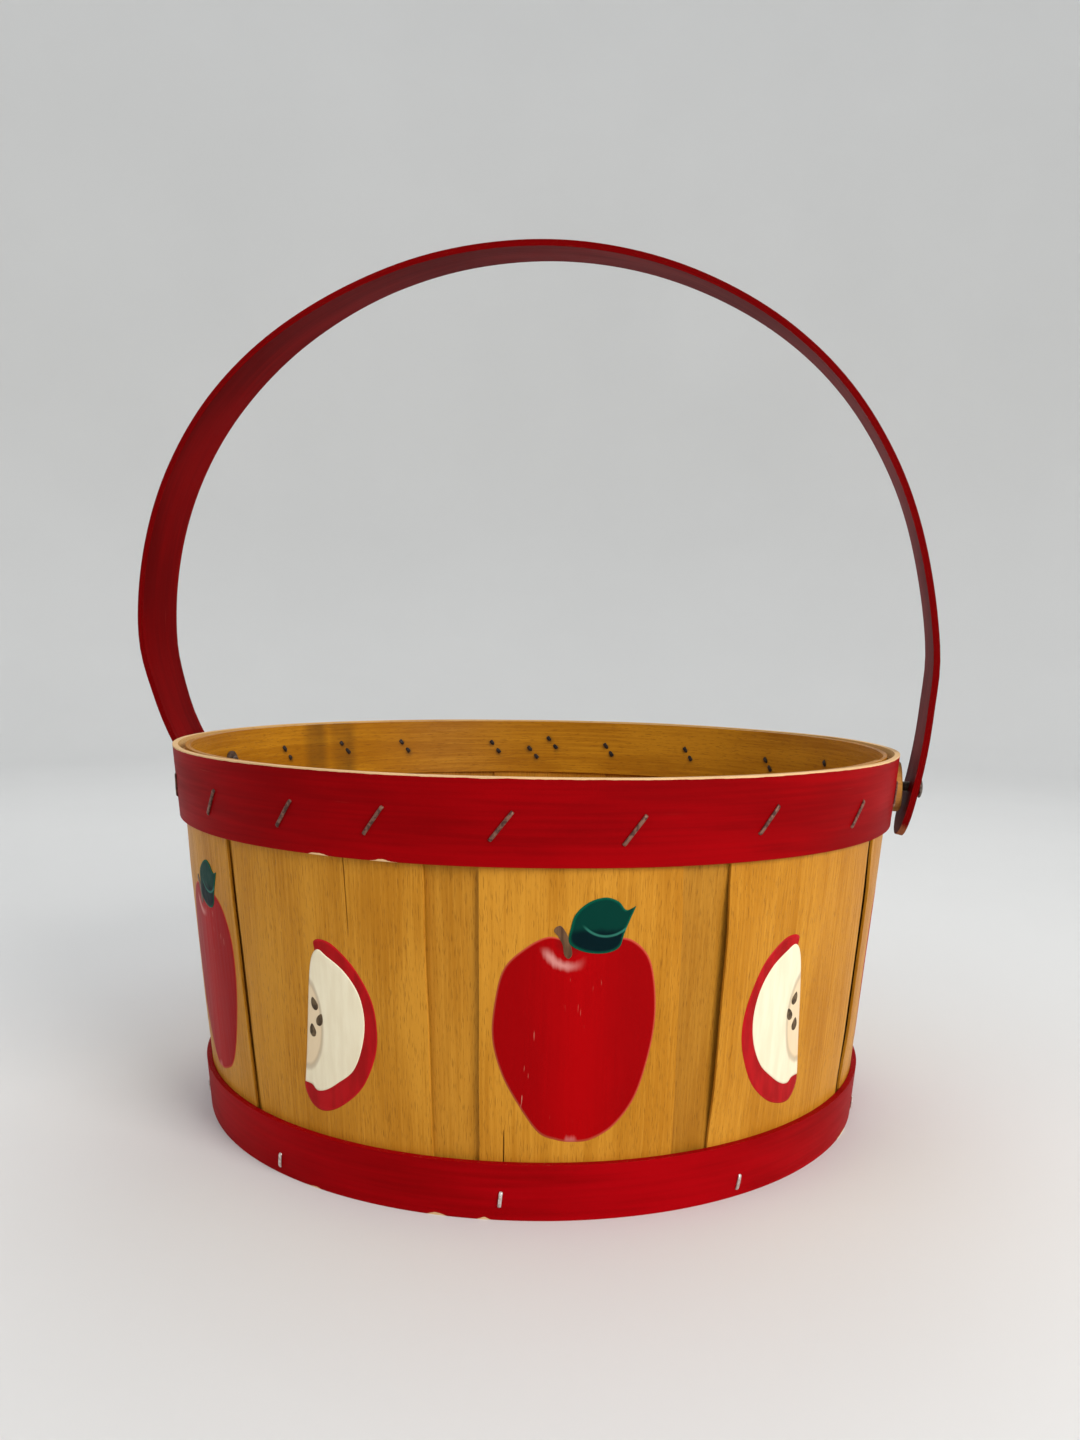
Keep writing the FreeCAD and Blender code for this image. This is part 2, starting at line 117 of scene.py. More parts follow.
def make_piece(name, points, faces, body, slot, materials, face_materials=None, values=None):
    """A mesh object on a body, with its point attributes, ready for materials."""
    mesh = bpy.data.meshes.new(name)
    mesh.from_pydata([tuple(p) for p in points], [], faces)
    for index, material in enumerate(face_materials or []):
        mesh.polygons[index].material_index = material
    for key, data in (values or {}).items():
        if isinstance(data[0], (int, float)):
            mesh.attributes.new(key, "FLOAT", "POINT").data.foreach_set("value", data)
        else:
            flat = [x for row in data for x in row]
            mesh.attributes.new(key, "FLOAT_VECTOR", "POINT").data.foreach_set("vector", flat)
    work = bmesh.new()
    work.from_mesh(mesh)
    bmesh.ops.recalc_face_normals(work, faces=work.faces)
    work.to_mesh(mesh)
    work.free()
    mesh.polygons.foreach_set("use_smooth", [True] * len(mesh.polygons))
    for material in materials:
        mesh.materials.append(material)
    piece = add_object(name, mesh)
    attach(piece, body)
    return piece


def soften(piece, width, segments=2, angle=50):
    """Rounds a piece's sharp edges."""
    bevel = piece.modifiers.new("soft_edges", "BEVEL")
    bevel.width = width
    bevel.segments = segments
    bevel.limit_method = "ANGLE"
    bevel.angle_limit = math.radians(angle)
    bevel.harden_normals = True
    return piece


def slab(name, across, along, place, body, slot, materials, closed=False, back=0):
    """A thin closed sheet with an outer side 0 and an inner side 1.

    place(s, t, side) gives a point and its grain coordinates, wear distance, and a darkening that is
    partly real stain and partly painted shade.
    The inner side takes the material numbered back.
    """
    points, grain, wear, stain_and_shade = [], [], [], []
    for side in (0, 1):
        for t in along:
            for s in across:
                point, coordinates, edge, dark = place(s, t, side)
                points.append(point)
                grain.append(coordinates)
                wear.append(edge)
                stain_and_shade.append(dark)
    wide, high = len(across), len(along)
    spans = wide if closed else wide - 1

    def at(side, row, column):
        return (side * high + row) * wide + column % wide

    faces, kinds = [], []

    def face(kind, *corners):
        faces.append(corners)
        kinds.append(kind)

    for i in range(spans):
        for j in range(high - 1):
            face(0, at(0, j, i), at(0, j, i + 1), at(0, j + 1, i + 1), at(0, j + 1, i))
            face(back, at(1, j, i), at(1, j + 1, i), at(1, j + 1, i + 1), at(1, j, i + 1))
        for j in (0, high - 1):
            face(0, at(0, j, i), at(1, j, i), at(1, j, i + 1), at(0, j, i + 1))
    if not closed:
        for j in range(high - 1):
            for i in (0, wide - 1):
                face(0, at(0, j, i), at(0, j + 1, i), at(1, j + 1, i), at(1, j, i))
    values = {"grain": grain, "wear": wear, "stain_and_shade": stain_and_shade}
    return make_piece(name, points, faces, body, slot, materials, kinds, values)


def turned(profile, place, steps):
    """Points and faces of a turned shape; profile is (radius, height), place its matrix."""
    points, rings = [], []
    for radius, height in profile:
        if radius < 1e-7:
            rings.append([len(points)])
            points.append(place @ Vector((0, 0, height)))
            continue
        ring = []
        for i in range(steps):
            turn = math.tau * i / steps
            ring.append(len(points))
            points.append(place @ Vector((radius * math.cos(turn), radius * math.sin(turn), height)))
        rings.append(ring)
    faces = []
    for low, high in zip(rings, rings[1:]):
        for i in range(steps):
            a, b = low[i % len(low)], low[(i + 1) % len(low)]
            c, d = high[(i + 1) % len(high)], high[i % len(high)]
            faces.append(tuple(dict.fromkeys((a, b, c, d))))
    return points, faces


# ---------------------------------------------------------------- material helpers
class Shader:
    """A Principled material and short calls for its nodes."""

    def __init__(self, name, **fixed):
        self.material = bpy.data.materials.new(name)
        self.material.use_nodes = True
        self.tree = self.material.node_tree
        self.tree.nodes.clear()
        self.surface = self.node("BsdfPrincipled")
        output = self.node("OutputMaterial")
        self.tree.links.new(self.surface.outputs[0], output.inputs[0])
        for key, value in fixed.items():
            self.surface.inputs[key.replace("_", " ")].default_value = value

    def node(self, kind, inputs=None, **settings):
        made = self.tree.nodes.new("ShaderNode" + kind)
        for key, value in settings.items():
            setattr(made, key, value)
        for key, value in (inputs or {}).items():
            self.feed(made.inputs[key], value)
        return made

    def feed(self, socket, value):
        if isinstance(value, bpy.types.NodeSocket):
            self.tree.links.new(value, socket)
        else:
            socket.default_value = value

    def into(self, key, value):
        self.feed(self.surface.inputs[key], value)

    def math(self, operation, a, b=0.0):
        return self.node("Math", {0: a, 1: b}, operation=operation).outputs[0]

    def plus(self, a, b):
        return self.math("ADD", a, b)

    def minus(self, a, b):
        return self.math("SUBTRACT", a, b)

    def times(self, a, b):
        return self.math("MULTIPLY", a, b)

    def attribute(self, name, kind="Vector"):
        return self.node("Attribute", attribute_name=name).outputs[kind]

    def place(self):
        """Object coordinates, for pieces that carry no grain of their own."""
        return self.node("TexCoord").outputs["Object"]

    def noise(self, vector, scale, detail, rough=0.5, offset=(0, 0, 0)):
        """Noise with a scale of its own along each coordinate."""
        inputs = {"Vector": vector, "Scale": scale, "Location": offset}
        vector = self.node("Mapping", inputs).outputs[0]
        inputs = {"Vector": vector, "Scale": 1.0, "Detail": detail, "Roughness": rough}
        return self.node("TexNoise", inputs).outputs[0]

    def steps(self, value, low, high, start=0.0, end=1.0):
        inputs = {"Value": value, 1: low, 2: high, 3: start, 4: end}
        return self.node("MapRange", inputs, interpolation_type="SMOOTHSTEP").outputs[0]

    def blend(self, factor, a, b):
        a = (*a, 1.0) if isinstance(a, tuple) else a
        b = (*b, 1.0) if isinstance(b, tuple) else b
        return self.node("Mix", {0: factor, 6: a, 7: b}, data_type="RGBA").outputs[2]

    def parts(self, vector):
        return self.node("SeparateXYZ", {0: vector}).outputs

    def bump(self, height, distance, strength):
        inputs = {"Height": height, "Distance": distance, "Strength": strength}
        self.into("Normal", self.node("Bump", inputs).outputs[0])

    def painted(self, colour, drag, dull, glossy, distance, strength):
        """Finishes a brushed paint: its colour, roughness and relief."""
        self.into("Base Color", colour)
        self.into("Roughness", self.steps(drag, 0.3, 0.7, dull, glossy))
        self.bump(drag, distance, strength)
        return self.material


# ---------------------------------------------------------------- materials
# dark brown for real stains round the staples, and for painted shade in splits, gaps and the bow's
# shadow
STAIN_AND_SHADE_COLOUR = (0.035, 0.018, 0.008)
BARE = (0.66, 0.43, 0.22)
SCRATCHED = (0.55, 0.14, 0.10)
CRESCENT = (0.72, 0.36, 0.32)
STEM_HOLLOW = (0.13, 0.004, 0.004)
BLOSSOM_END = (0.60, 0.22, 0.20)
RUBBED = (0.72, 0.35, 0.25)
APPLE_RIM = (0.68, 0.13, 0.07)
LEAF_RIM, LEAF_VEIN = (0.003, 0.13, 0.065), (0.05, 0.28, 0.20)
CORE, CORE_LINE = (0.74, 0.56, 0.35), (0.42, 0.31, 0.20)


def wood(name, light, dark, fleck, roughness=0.45, gloss=0.15, own_grain=True):
    """Fine straight grain with short dark pores; grain coordinates run along the strip."""
    m = Shader(name, Specular_IOR_Level=gloss)
    grain = m.attribute("grain") if own_grain else m.place()
    broad = m.noise(grain, (8, 70, 70), 3)
    clouds = m.noise(grain, (20, 34, 34), 2)
    streak = m.noise(grain, (26, 950, 950), 3, 0.6)
    pores = m.noise(grain, (260, 3400, 3400), 1)
    tone = m.plus(m.times(broad, 0.4), m.times(clouds, 0.25))
    tone = m.plus(tone, m.times(streak, 0.35))
    colour = m.blend(m.steps(tone, 0.38, 0.62), dark, light)
    pore = m.steps(pores, 0.57, 0.72)
    colour = m.blend(m.times(pore, 0.55), colour, fleck)
    # real stains and painted shade, blended in from the point attribute
    m.into("Base Color", m.blend(m.attribute("stain_and_shade", "Fac"), colour, STAIN_AND_SHADE_COLOUR))
    m.into("Roughness", m.steps(streak, 0.3, 0.7, roughness + 0.06, roughness - 0.06))
    relief = m.minus(m.times(streak, 0.5), m.times(pore, 0.5))
    m.bump(relief, 0.00012, 0.55)
    return m.material


def red_paint(name, fresh, deep, bare=BARE, bareness=0.5):
    """Brushed paint on wood, rubbed through in patches along the edges."""
    m = Shader(name, Specular_IOR_Level=0.02)
    grain = m.attribute("grain")
    broad = m.noise(grain, (9, 40, 40), 3)
    brush = m.noise(grain, (22, 620, 620), 3)
    tone = m.plus(m.times(broad, 0.7), m.times(brush, 0.3))
    colour = m.blend(m.steps(tone, 0.36, 0.64), deep, fresh)
    # thin pale scratches, in a few places only
    scratch = m.noise(grain, (38, 2300, 2300), 0, offset=(3, 1, 0))
    where = m.noise(grain, (24, 90, 90), 1, offset=(0, 5, 2))
    mark = m.times(m.steps(scratch, 0.78, 0.86), m.steps(where, 0.60, 0.70))
    colour = m.blend(m.times(mark, 0.4), colour, SCRATCHED)
    # paint gone from the edges
    patch = m.noise(grain, (130, 260, 260), 3, 0.6)
    reach = m.times(m.minus(patch, bareness), 0.0022)
    gone = m.steps(m.minus(reach, m.attribute("wear", "Fac")), -0.00004, 0.00006)
    wood_tone = m.noise(grain, (60, 900, 900), 2)
    under = m.blend(wood_tone, tuple(c * 0.75 for c in bare), tuple(min(c * 1.3, 1) for c in bare))
    m.into("Base Color", m.blend(gone, colour, under))
    m.into("Roughness", m.plus(m.steps(tone, 0.3, 0.7, 0.50, 0.42), m.times(gone, 0.25)))
    relief = m.minus(m.times(brush, 0.35), m.times(gone, 0.6))
    m.bump(relief, 0.00015, 0.6)
    return m.material


def steel(name, rust, bright, metallic, roughness):
    m = Shader(name)
    spot = m.noise(m.place(), (700, 700, 700), 3)
    spread = m.steps(spot, 0.38, 0.62)
    m.into("Base Color", m.blend(spread, rust, bright))
    m.into("Metallic", m.steps(spot, 0.4, 0.6, metallic * 0.5, metallic))
    m.into("Roughness", m.steps(spot, 0.35, 0.65, roughness + 0.15, roughness))
    m.bump(spot, 0.0001, 0.4)
    return m.material


def brush_marks(m, spot, across=850, along=30):
    """Paint dragged by a brush up and down the stave."""
    return m.noise(spot, (across, along, 300), 3)


def ring_of(m, x, y, centre_x, centre_y):
    """Distance from a centre in the picture's own coordinates."""
    dx, dy = m.minus(x, centre_x), m.minus(y, centre_y)
    return m.math("SQRT", m.plus(m.times(dx, dx), m.times(dy, dy)))


def apple_paint():
    """Red, lighter down the middle, with a pale brushed crescent under the stem."""
    m = Shader("apple_red", Specular_IOR_Level=0.03)
    spot = m.attribute("spot")
    x, y, _ = m.parts(spot)
    drag = brush_marks(m, spot)
    patch = m.noise(spot, (60, 40, 60), 2)
    side = m.plus(m.math("ABSOLUTE", m.plus(x, -0.001)), m.times(drag, 0.011))
    side = m.plus(side, m.times(patch, 0.012))
    colour = m.blend(m.steps(side, 0.010, 0.031), (0.37, 0.0003, 0.0016), (0.29, 0.0003, 0.0014))
    # crescent
    away = ring_of(m, x, y, -0.0022, 0.0338)
    band = m.math("ABSOLUTE", m.minus(away, 0.0084))
    ragged = m.plus(band, m.times(drag, 0.0016))
    glow = m.times(m.steps(ragged, 0.0030, 0.0008), m.steps(x, 0.0035, -0.005))
    glow = m.times(glow, m.steps(y, 0.0325, 0.0285))
    colour = m.blend(m.times(glow, 0.6), colour, CRESCENT)
    shade = m.steps(away, 0.0062, 0.003)
    colour = m.blend(m.times(shade, 0.5), colour, STEM_HOLLOW)
    # pale spot at the blossom end, and rubs
    foot = m.plus(ring_of(m, x, y, -0.0005, -0.0345), m.times(drag, 0.003))
    colour = m.blend(m.steps(foot, 0.0045, 0.0022, 0.0, 0.6), colour, BLOSSOM_END)
    rub = m.noise(spot, (1100, 130, 500), 1, offset=(4, 2, 1))
    where = m.noise(spot, (75, 28, 60), 1, offset=(7, 3, 0))
    rubbed = m.times(m.steps(rub, 0.68, 0.76), m.steps(where, 0.57, 0.65))
    colour = m.blend(m.times(rubbed, 0.6), colour, RUBBED)
    rim = m.steps(m.attribute("rim", "Fac"), 0.975, 0.995)
    colour = m.blend(m.times(rim, 0.55), colour, APPLE_RIM)
    return m.painted(colour, drag, 0.46, 0.36, 0.00012, 0.5)


def leaf_paint():
    """Dark green, brighter at the outline, bluish low down, with one pale vein."""
    m = Shader("leaf_green", Specular_IOR_Level=0.03)
    spot = m.attribute("spot")
    x, y, _ = m.parts(spot)
    drag = brush_marks(m, spot, 300, 200)
    low = m.plus(y, m.times(drag, 0.002))
    colour = m.blend(m.steps(low, 0.0395, 0.0370), (0.0010, 0.036, 0.026), (0.001, 0.010, 0.013))
    edge = m.steps(m.attribute("rim", "Fac"), 0.88, 1.0)
    colour = m.blend(m.times(edge, 0.6), colour, LEAF_RIM)
    bend = ring_of(m, x, y, 0.009, 0.0445)
    vein = m.steps(m.math("ABSOLUTE", m.minus(bend, 0.0092)), 0.0006, 0.0001)
    vein = m.times(vein, m.steps(y, 0.0395, 0.037))
    colour = m.blend(m.times(vein, 0.5), colour, LEAF_VEIN)
    return m.painted(colour, drag, 0.5, 0.4, 0.0001, 0.4)


def flat_paint(name, light, dark, scale=(500, 60, 300)):
    """Plain brushed paint in two close tones."""
    m = Shader(name, Specular_IOR_Level=0.12)
    spot = m.attribute("spot")
    drag = m.noise(spot, scale, 3)
    colour = m.blend(m.steps(drag, 0.35, 0.65), dark, light)
    rim = m.steps(m.attribute("rim", "Fac"), 0.965, 0.99)
    paler = tuple(min(1, c * 1.4 + 0.01) for c in light)
    colour = m.blend(m.times(rim, 0.35), colour, paler)
    return m.painted(colour, drag, 0.5, 0.4, 0.0001, 0.4)


def flesh_paint():
    """Cream flesh with a beige core behind a soft grey-brown line."""
    m = Shader("apple_flesh", Specular_IOR_Level=0.12)
    spot = m.attribute("spot")
    x, y, _ = m.parts(spot)
    drag = m.noise(spot, (420, 60, 300), 3)
    colour = m.blend(m.steps(drag, 0.3, 0.7), (0.79, 0.70, 0.50), (0.85, 0.77, 0.57))
    narrow = m.times(m.plus(x, 0.0150), 2.1)
    away = ring_of(m, narrow, y, 0.0, 0.0015)
    away = m.plus(away, m.times(drag, 0.0012))
    inner = m.steps(away, 0.0172, 0.0160)
    colour = m.blend(m.times(inner, 0.75), colour, CORE)
    line = m.steps(m.math("ABSOLUTE", m.minus(away, 0.0170)), 0.0019, 0.0002)
    colour = m.blend(m.times(line, 0.6), colour, CORE_LINE)
    return m.painted(colour, drag, 0.55, 0.45, 0.0001, 0.45)


def pale_floor():
    m = Shader("pale_floor", Specular_IOR_Level=0.25)
    tone = m.noise(m.place(), (3, 3, 3), 3)
    m.into("Base Color", m.blend(tone, (0.68, 0.68, 0.67), (0.73, 0.73, 0.72)))
    m.into("Roughness", m.steps(tone, 0.3, 0.7, 0.75, 0.65))
    return m.material


# woods: light and dark tones, then the pores' colour
AMBER = wood(
    "varnished_stave", (0.56, 0.250, 0.024), (0.42, 0.165, 0.010), (0.20, 0.072, 0.005), 0.42, 0.08
)
LINING_WOOD = wood(
    "varnished_lining", (0.52, 0.225, 0.010), (0.35, 0.130, 0.004), (0.19, 0.064, 0.004), 0.40, 0.08
)
BARE_WOOD = wood("bare_wood", (0.72, 0.46, 0.18), (0.56, 0.31, 0.10), (0.35, 0.17, 0.06), 0.62)
SPACER_WOOD = wood(
    "spacer_wood", (0.62, 0.33, 0.09), (0.42, 0.19, 0.04), (0.25, 0.10, 0.03), 0.55, 0.15, False
)
HOOP_RED = red_paint("hoop_red", (0.30, 0.0004, 0.0022), (0.20, 0.0003, 0.0015), BARE, 0.56)
BASE_RED = red_paint("base_red", (0.35, 0.0005, 0.003), (0.23, 0.0003, 0.0015), BARE, 0.56)
BOW_RED = red_paint(
    "bow_red", (0.19, 0.0004, 0.001), (0.105, 0.0003, 0.0007), (0.30, 0.11, 0.05), 0.60
)
RUSTY = steel("rusty_staple", (0.055, 0.014, 0.008), (0.20, 0.085, 0.055), 0.35, 0.5)
DARK_POINT = steel("dark_point", (0.008, 0.005, 0.004), (0.030, 0.018, 0.012), 0.4, 0.6)
BRIGHT = steel("bright_staple", (0.42, 0.36, 0.32), (0.80, 0.78, 0.75), 0.9, 0.35)
RIVET_STEEL = steel("rivet_steel", (0.060, 0.035, 0.025), (0.16, 0.12, 0.095), 0.8, 0.45)
FRUIT = [
    apple_paint(),
    flat_paint("stem_brown", (0.17, 0.085, 0.040), (0.075, 0.035, 0.018)),
    leaf_paint(),
]
SLICE = [
    flat_paint("skin_red", (0.42, 0.0006, 0.004), (0.31, 0.0004, 0.002), (300, 60, 300)),
    flesh_paint(),
    flat_paint("seed_olive", (0.14, 0.095, 0.050), (0.055, 0.035, 0.020), (700, 500, 300)),
]


# ---------------------------------------------------------------- staves
# outer staves: how far each edge drifts in azimuth towards the foot, and how far it curls outwards
EDGES = {
    1: (-0.2, 1.8, 0.4 * MM, 0.6 * MM),
    2: (0.1, 0.6, 1.5 * MM, 0.5 * MM),
    3: (0.6, 1.2, 0.8 * MM, 0.5 * MM),
    9: (0.3, 2.4, 0.5 * MM, 0.4 * MM),
    10: (2.6, 0.8, 0.35 * MM, 0.5 * MM),
}
# splits along the grain: azimuth from the stave's middle, lowest and highest point
SPLITS = {
    1: (-9.6, 8 * MM, 30 * MM),
    5: (4.0, 92 * MM, 140 * MM),
    8: (-6.0, 10 * MM, 46 * MM),
    10: (5.4, 98 * MM, 140 * MM),
}
# their half width in degrees, their depth as a share of the stave's, and the painted shade in them
SPLIT_HALF_WIDTH, SPLIT_DEPTH, SPLIT_SHADE = 0.09, 0.8, 0.9
# painted shade on the outside of the strips seen through the gaps
SHADED = {1: 0.22, 2: 0.85, 4: 0.35, 7: 0.3, 9: 0.2}
LIGHTLY_SHADED = 0.08
# share of the frame's thickness that a visible stave has
SLIM = 0.96
STAVE_COUNT = 10
SPANS = {n: span(f"outer_stave_{n:02d}") for n in range(1, STAVE_COUNT + 1)}
STAVE_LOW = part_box("outer_stave_01")[0].z
STAVE_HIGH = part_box("outer_stave_01")[1].z


def edge_habits(number):
    draw = random.Random(40 + number)
    spare = (
        draw.uniform(-0.3, 1.4),
        draw.uniform(0.2, 2.4),
        draw.uniform(0.3, 1.1) * MM,
        draw.uniform(0.3, 1.1) * MM,
    )
    return EDGES.get(number, spare)


def stave_edges(number, height):
    """Azimuths of an outer stave's two edges at a height, a little uneven."""
    left, right = SPANS[number]
    drift_left, drift_right = edge_habits(number)[:2]
    down = (STAVE_HIGH - height) / (STAVE_HIGH - STAVE_LOW)
    ragged_left = 0.10 * wobble(height * 38, 0.3, number)
    ragged_right = 0.10 * wobble(height * 38, 5.3, number)
    return left + drift_left * down + ragged_left, right + drift_right * down + ragged_right


def stave_swell(number, azimuth, height):
    """How far an outer stave stands out of its plain cone, between the hoops."""
    free = smooth(height, BASE_HIGH, BASE_HIGH + 26 * MM)
    free *= 1 - smooth(height, RIM_LOW - 24 * MM, RIM_LOW)
    left, right = stave_edges(number, height)
    across = (azimuth - left) / (right - left)
    curl_left, curl_right = edge_habits(number)[2:]
    curl = curl_left * smooth(across, 0.34, -0.02) + curl_right * smooth(across, 0.66, 1.02)
    waves = 0.16 * MM * wobble(azimuth * 0.13, height * 14, number)
    waves += 0.05 * MM * wobble(azimuth * 0.6, height * 22, number + 50)
    return free * (curl + waves)


def stave_face(number, azimuth, height, proud=0.0):
    """A point on an outer stave's outside, or proud of it."""
    return wall(azimuth, height, STAVE_DEPTH - stave_swell(number, azimuth, height) - proud)


def stave_grain(azimuth, s, left, right):
    """Length across the stave from its left edge, and distance from its nearer edge."""
    edge = min(s, 1 - s) * math.radians(right - left) * RIM_RADIUS
    return math.radians(azimuth - left) * RIM_RADIUS, edge


def veneer(name, across, along, place, node):
    piece = slab(name, across, along, place, "basket", "varnished_wood", [AMBER])
    soften(piece, 0.22 * MM)
    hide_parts(node)


def outer_stave(number):
    left, right = SPANS[number]
    split = SPLITS.get(number)
    across = even(26)
    if split:
        middle = ((left + right) / 2 + split[0] - left) / (right - left)
        near = SPLIT_HALF_WIDTH / (right - left)
        clear = [s for s in across if abs(s - middle) > 2 * near]
        across = sorted(clear + [middle - near, middle, middle + near])
    along = [0, 0.004] + even(36, 0.02, 0.98) + [0.996, 1]

    def place(s, t, side):
        top = STAVE_HIGH + 0.9 * MM * wobble(s * 3, 1.7, number) - 0.5 * MM
        height = STAVE_LOW + (top - STAVE_LOW) * t
        low_edge, high_edge = stave_edges(number, height)
        azimuth = low_edge + (high_edge - low_edge) * s
        depth = STAVE_DEPTH - stave_swell(number, azimuth, height) + SLIM * STAVE * side
        dark = 0.0
        # painted shade darkens the split's groove
        if split and side == 0 and abs(s - middle) < 1e-6 and split[1] < height < split[2]:
            depth += SPLIT_DEPTH * STAVE
            dark = SPLIT_SHADE
        arc, edge = stave_grain(azimuth, s, left, right)
        return wall(azimuth, height, depth), (height, arc, number * 0.37 + depth), edge, dark

    veneer(f"stave_{number:02d}", across, along, place, f"outer_stave_{number:02d}")


def inner_stave(number):
    node = f"inner_stave_{number:02d}"
    left, right = span(node)
    along = [0, 0.004] + even(20, 0.03, 0.97) + [0.996, 1]

    def place(s, t, side):
        top = STAVE_HIGH + 0.8 * MM * wobble(s * 3, 8.7, number) - 0.4 * MM
        height = STAVE_LOW + (top - STAVE_LOW) * t
        azimuth = left + (right - left) * s + 0.12 * wobble(height * 40, s * 9, number + 20)
        free = smooth(height, BASE_HIGH, BASE_HIGH + 20 * MM)
        free *= 1 - smooth(height, RIM_LOW - 20 * MM, RIM_LOW)
        sink = free * 0.2 * MM * (1 + wobble(azimuth * 0.15, height * 16, number + 70))
        depth = BACK_DEPTH + sink + SLIM * STAVE * side
        arc, edge = stave_grain(azimuth, s, left, right)
        # painted shade on the strip's outside, where the gaps between the outer staves fall dark
        dark = SHADED.get(number, LIGHTLY_SHADED) * (1 - side)
        return wall(azimuth, height, depth), (height, arc, 5 + number * 0.41 + depth), edge, dark

    veneer(f"lining_stave_{number:02d}", even(24), along, place, node)


# ---------------------------------------------------------------- hoops
def staple_places(node):
    """Azimuth and height of the middle of each staple's crown, found from the CAD node."""
    crowns = {}
    for point in cad_points(node):
        radius = math.hypot(point.x, point.y)
        outside = BASE_RADIUS + SLOPE * point.z
        if radius > outside - 0.1 * MM:
            azimuth = math.degrees(math.atan2(point.x, -point.y)) % 360
            near = next((a for a in crowns if abs((a - azimuth + 180) % 360 - 180) < 3.2), azimuth)
            crowns.setdefault(near, []).append((azimuth, point.z))
    places = []
    for near, found in crowns.items():
        turns = [(a - near + 180) % 360 - 180 for a, _ in found]
        azimuth = near + (min(turns) + max(turns)) / 2
        heights = [z for _, z in found]
        places.append((azimuth % 360, (min(heights) + max(heights)) / 2))
    return sorted(places)


RIM_STAPLES = staple_places("rim_staples")
BASE_STAPLES = staple_places("base_staples")
RIM_CROWN, RIM_TILT = 11.5 * MM, 51.0
BASE_CROWN, BASE_TILT = 5.0 * MM, 82.0

# azimuths where the hoops' strips end over themselves; the step's height and its run and cut in
# degrees; how much larger the inner hoop's step is; degrees in a radian
RIM_LAP, BASE_LAP, LINING_LAP = 195.0, 160.0, 75.0
LAP_STEP, LAP_RUN, LAP_CUT = 0.45 * MM, 16.0, 0.06
LINING_LIFT = 1.3
RADIAN = 57.3


def turn_between(azimuth, other):
    """Signed degrees from other to azimuth."""
    return (azimuth - other + 180) % 360 - 180


def along_rim(angle):
    """Length on the rim of an angle in degrees."""
    return angle / RADIAN * RIM_RADIUS


def from_lap(azimuth, lap):
    """Length on the rim from a strip's end, so that the grain starts and ends there."""
    return along_rim((azimuth - lap - LAP_CUT / 2) % 360)


def lap_lift(azimuth, lap):
    """Thickness added before a strip's outer end, and missing just after it."""
    beyond = turn_between(azimuth, lap)
    if -LAP_RUN < beyond <= 0:
        return LAP_STEP * smooth(beyond, -LAP_RUN, -LAP_RUN / 3)
    if 0 < beyond < LAP_RUN:
        return -LAP_STEP * (1 - smooth(beyond, LAP_RUN / 3, LAP_RUN))
    return 0.0


def rim_lift(azimuth):
    return lap_lift(azimuth, RIM_LAP)


def base_lift(azimuth):
    return lap_lift(azimuth, BASE_LAP)


def lining_lift(azimuth):
    return LINING_LIFT * lap_lift(azimuth, LINING_LAP)


def around(steps, lap):
    """Shares of a turn, evenly spaced, with the strip's end cut sharply at the lap."""
    ends = [lap / 360, (lap + LAP_CUT) / 360]
    clear = [i / steps for i in range(steps) if abs(i / steps - ends[0]) > 0.3 / steps]
    return sorted(clear + ends)


BAND_ROWS = [0, 0.006, 0.012, 0.04, 0.09, 0.18, 0.32, 0.5, 0.68, 0.82, 0.91, 0.955, 0.968, 0.99, 1]


def band(name, node, low, high, lap, scuffs, paint, seed, bare_top=False):
    """A painted hoop strip; scuffs are its rubbed places."""

    def place(s, t, side):
        azimuth = 360 * s
        x, y = math.cos(math.tau * s) * 2.2, math.sin(math.tau * s) * 2.2
        bottom = low + 0.22 * MM * noise.noise(Vector((x, y, seed)))
        top = high + 0.22 * MM * noise.noise(Vector((x, y, seed + 3)))
        if low < MM:
            bottom = low
        height = bottom + (top - bottom) * t
        swell = 0.07 * MM * noise.noise(Vector((3 * x, 3 * y, seed + height * 60)))
        swell += lap_lift(azimuth, lap)
        edge = min(t, 1 - t) * (high - low) + 0.25 * MM
        edge = min(edge, along_rim(abs(turn_between(azimuth, lap))))
        if t > 0.97 and bare_top:
            edge = -MM
        for where, wide, end, deep in scuffs:
            near = max(0.0, 1 - abs(turn_between(azimuth, where)) / wide)
            if abs(t - end) < 0.3:
                edge -= deep * near
        arc = from_lap(azimuth, lap)
        point = wall(azimuth, height, HOOP if side else -swell)
        return point, (arc, height, seed + side), edge, 0.0

    materials = [paint, BARE_WOOD]
    piece = slab(
        name, around(360, lap), BAND_ROWS, place, "basket", "red_paint", materials, True, 1
    )
    soften(piece, 0.28 * MM)
    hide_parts(node)


def point_spots(places, crown, tilt, reach):
    """Azimuth and height of every staple point that comes through to the inside."""
    turn = math.radians(tilt)
    spots = []
    for azimuth, height in places:
        for way in (-1, 1):
            shift = way * (crown / 2 - reach)
            radius = BASE_RADIUS + SLOPE * height - INSIDE_DEPTH
            sideways = math.degrees(shift * math.cos(turn) / radius)
            spots.append((azimuth + sideways, height + shift * math.sin(turn)))
    return spots


# azimuths of two brown stripes of painted shadow from the bow down the inner hoop, and their darkness
BOW_SHADOW_AZIMUTHS, BOW_SHADOW_DARKNESS = (236, 243), 0.6


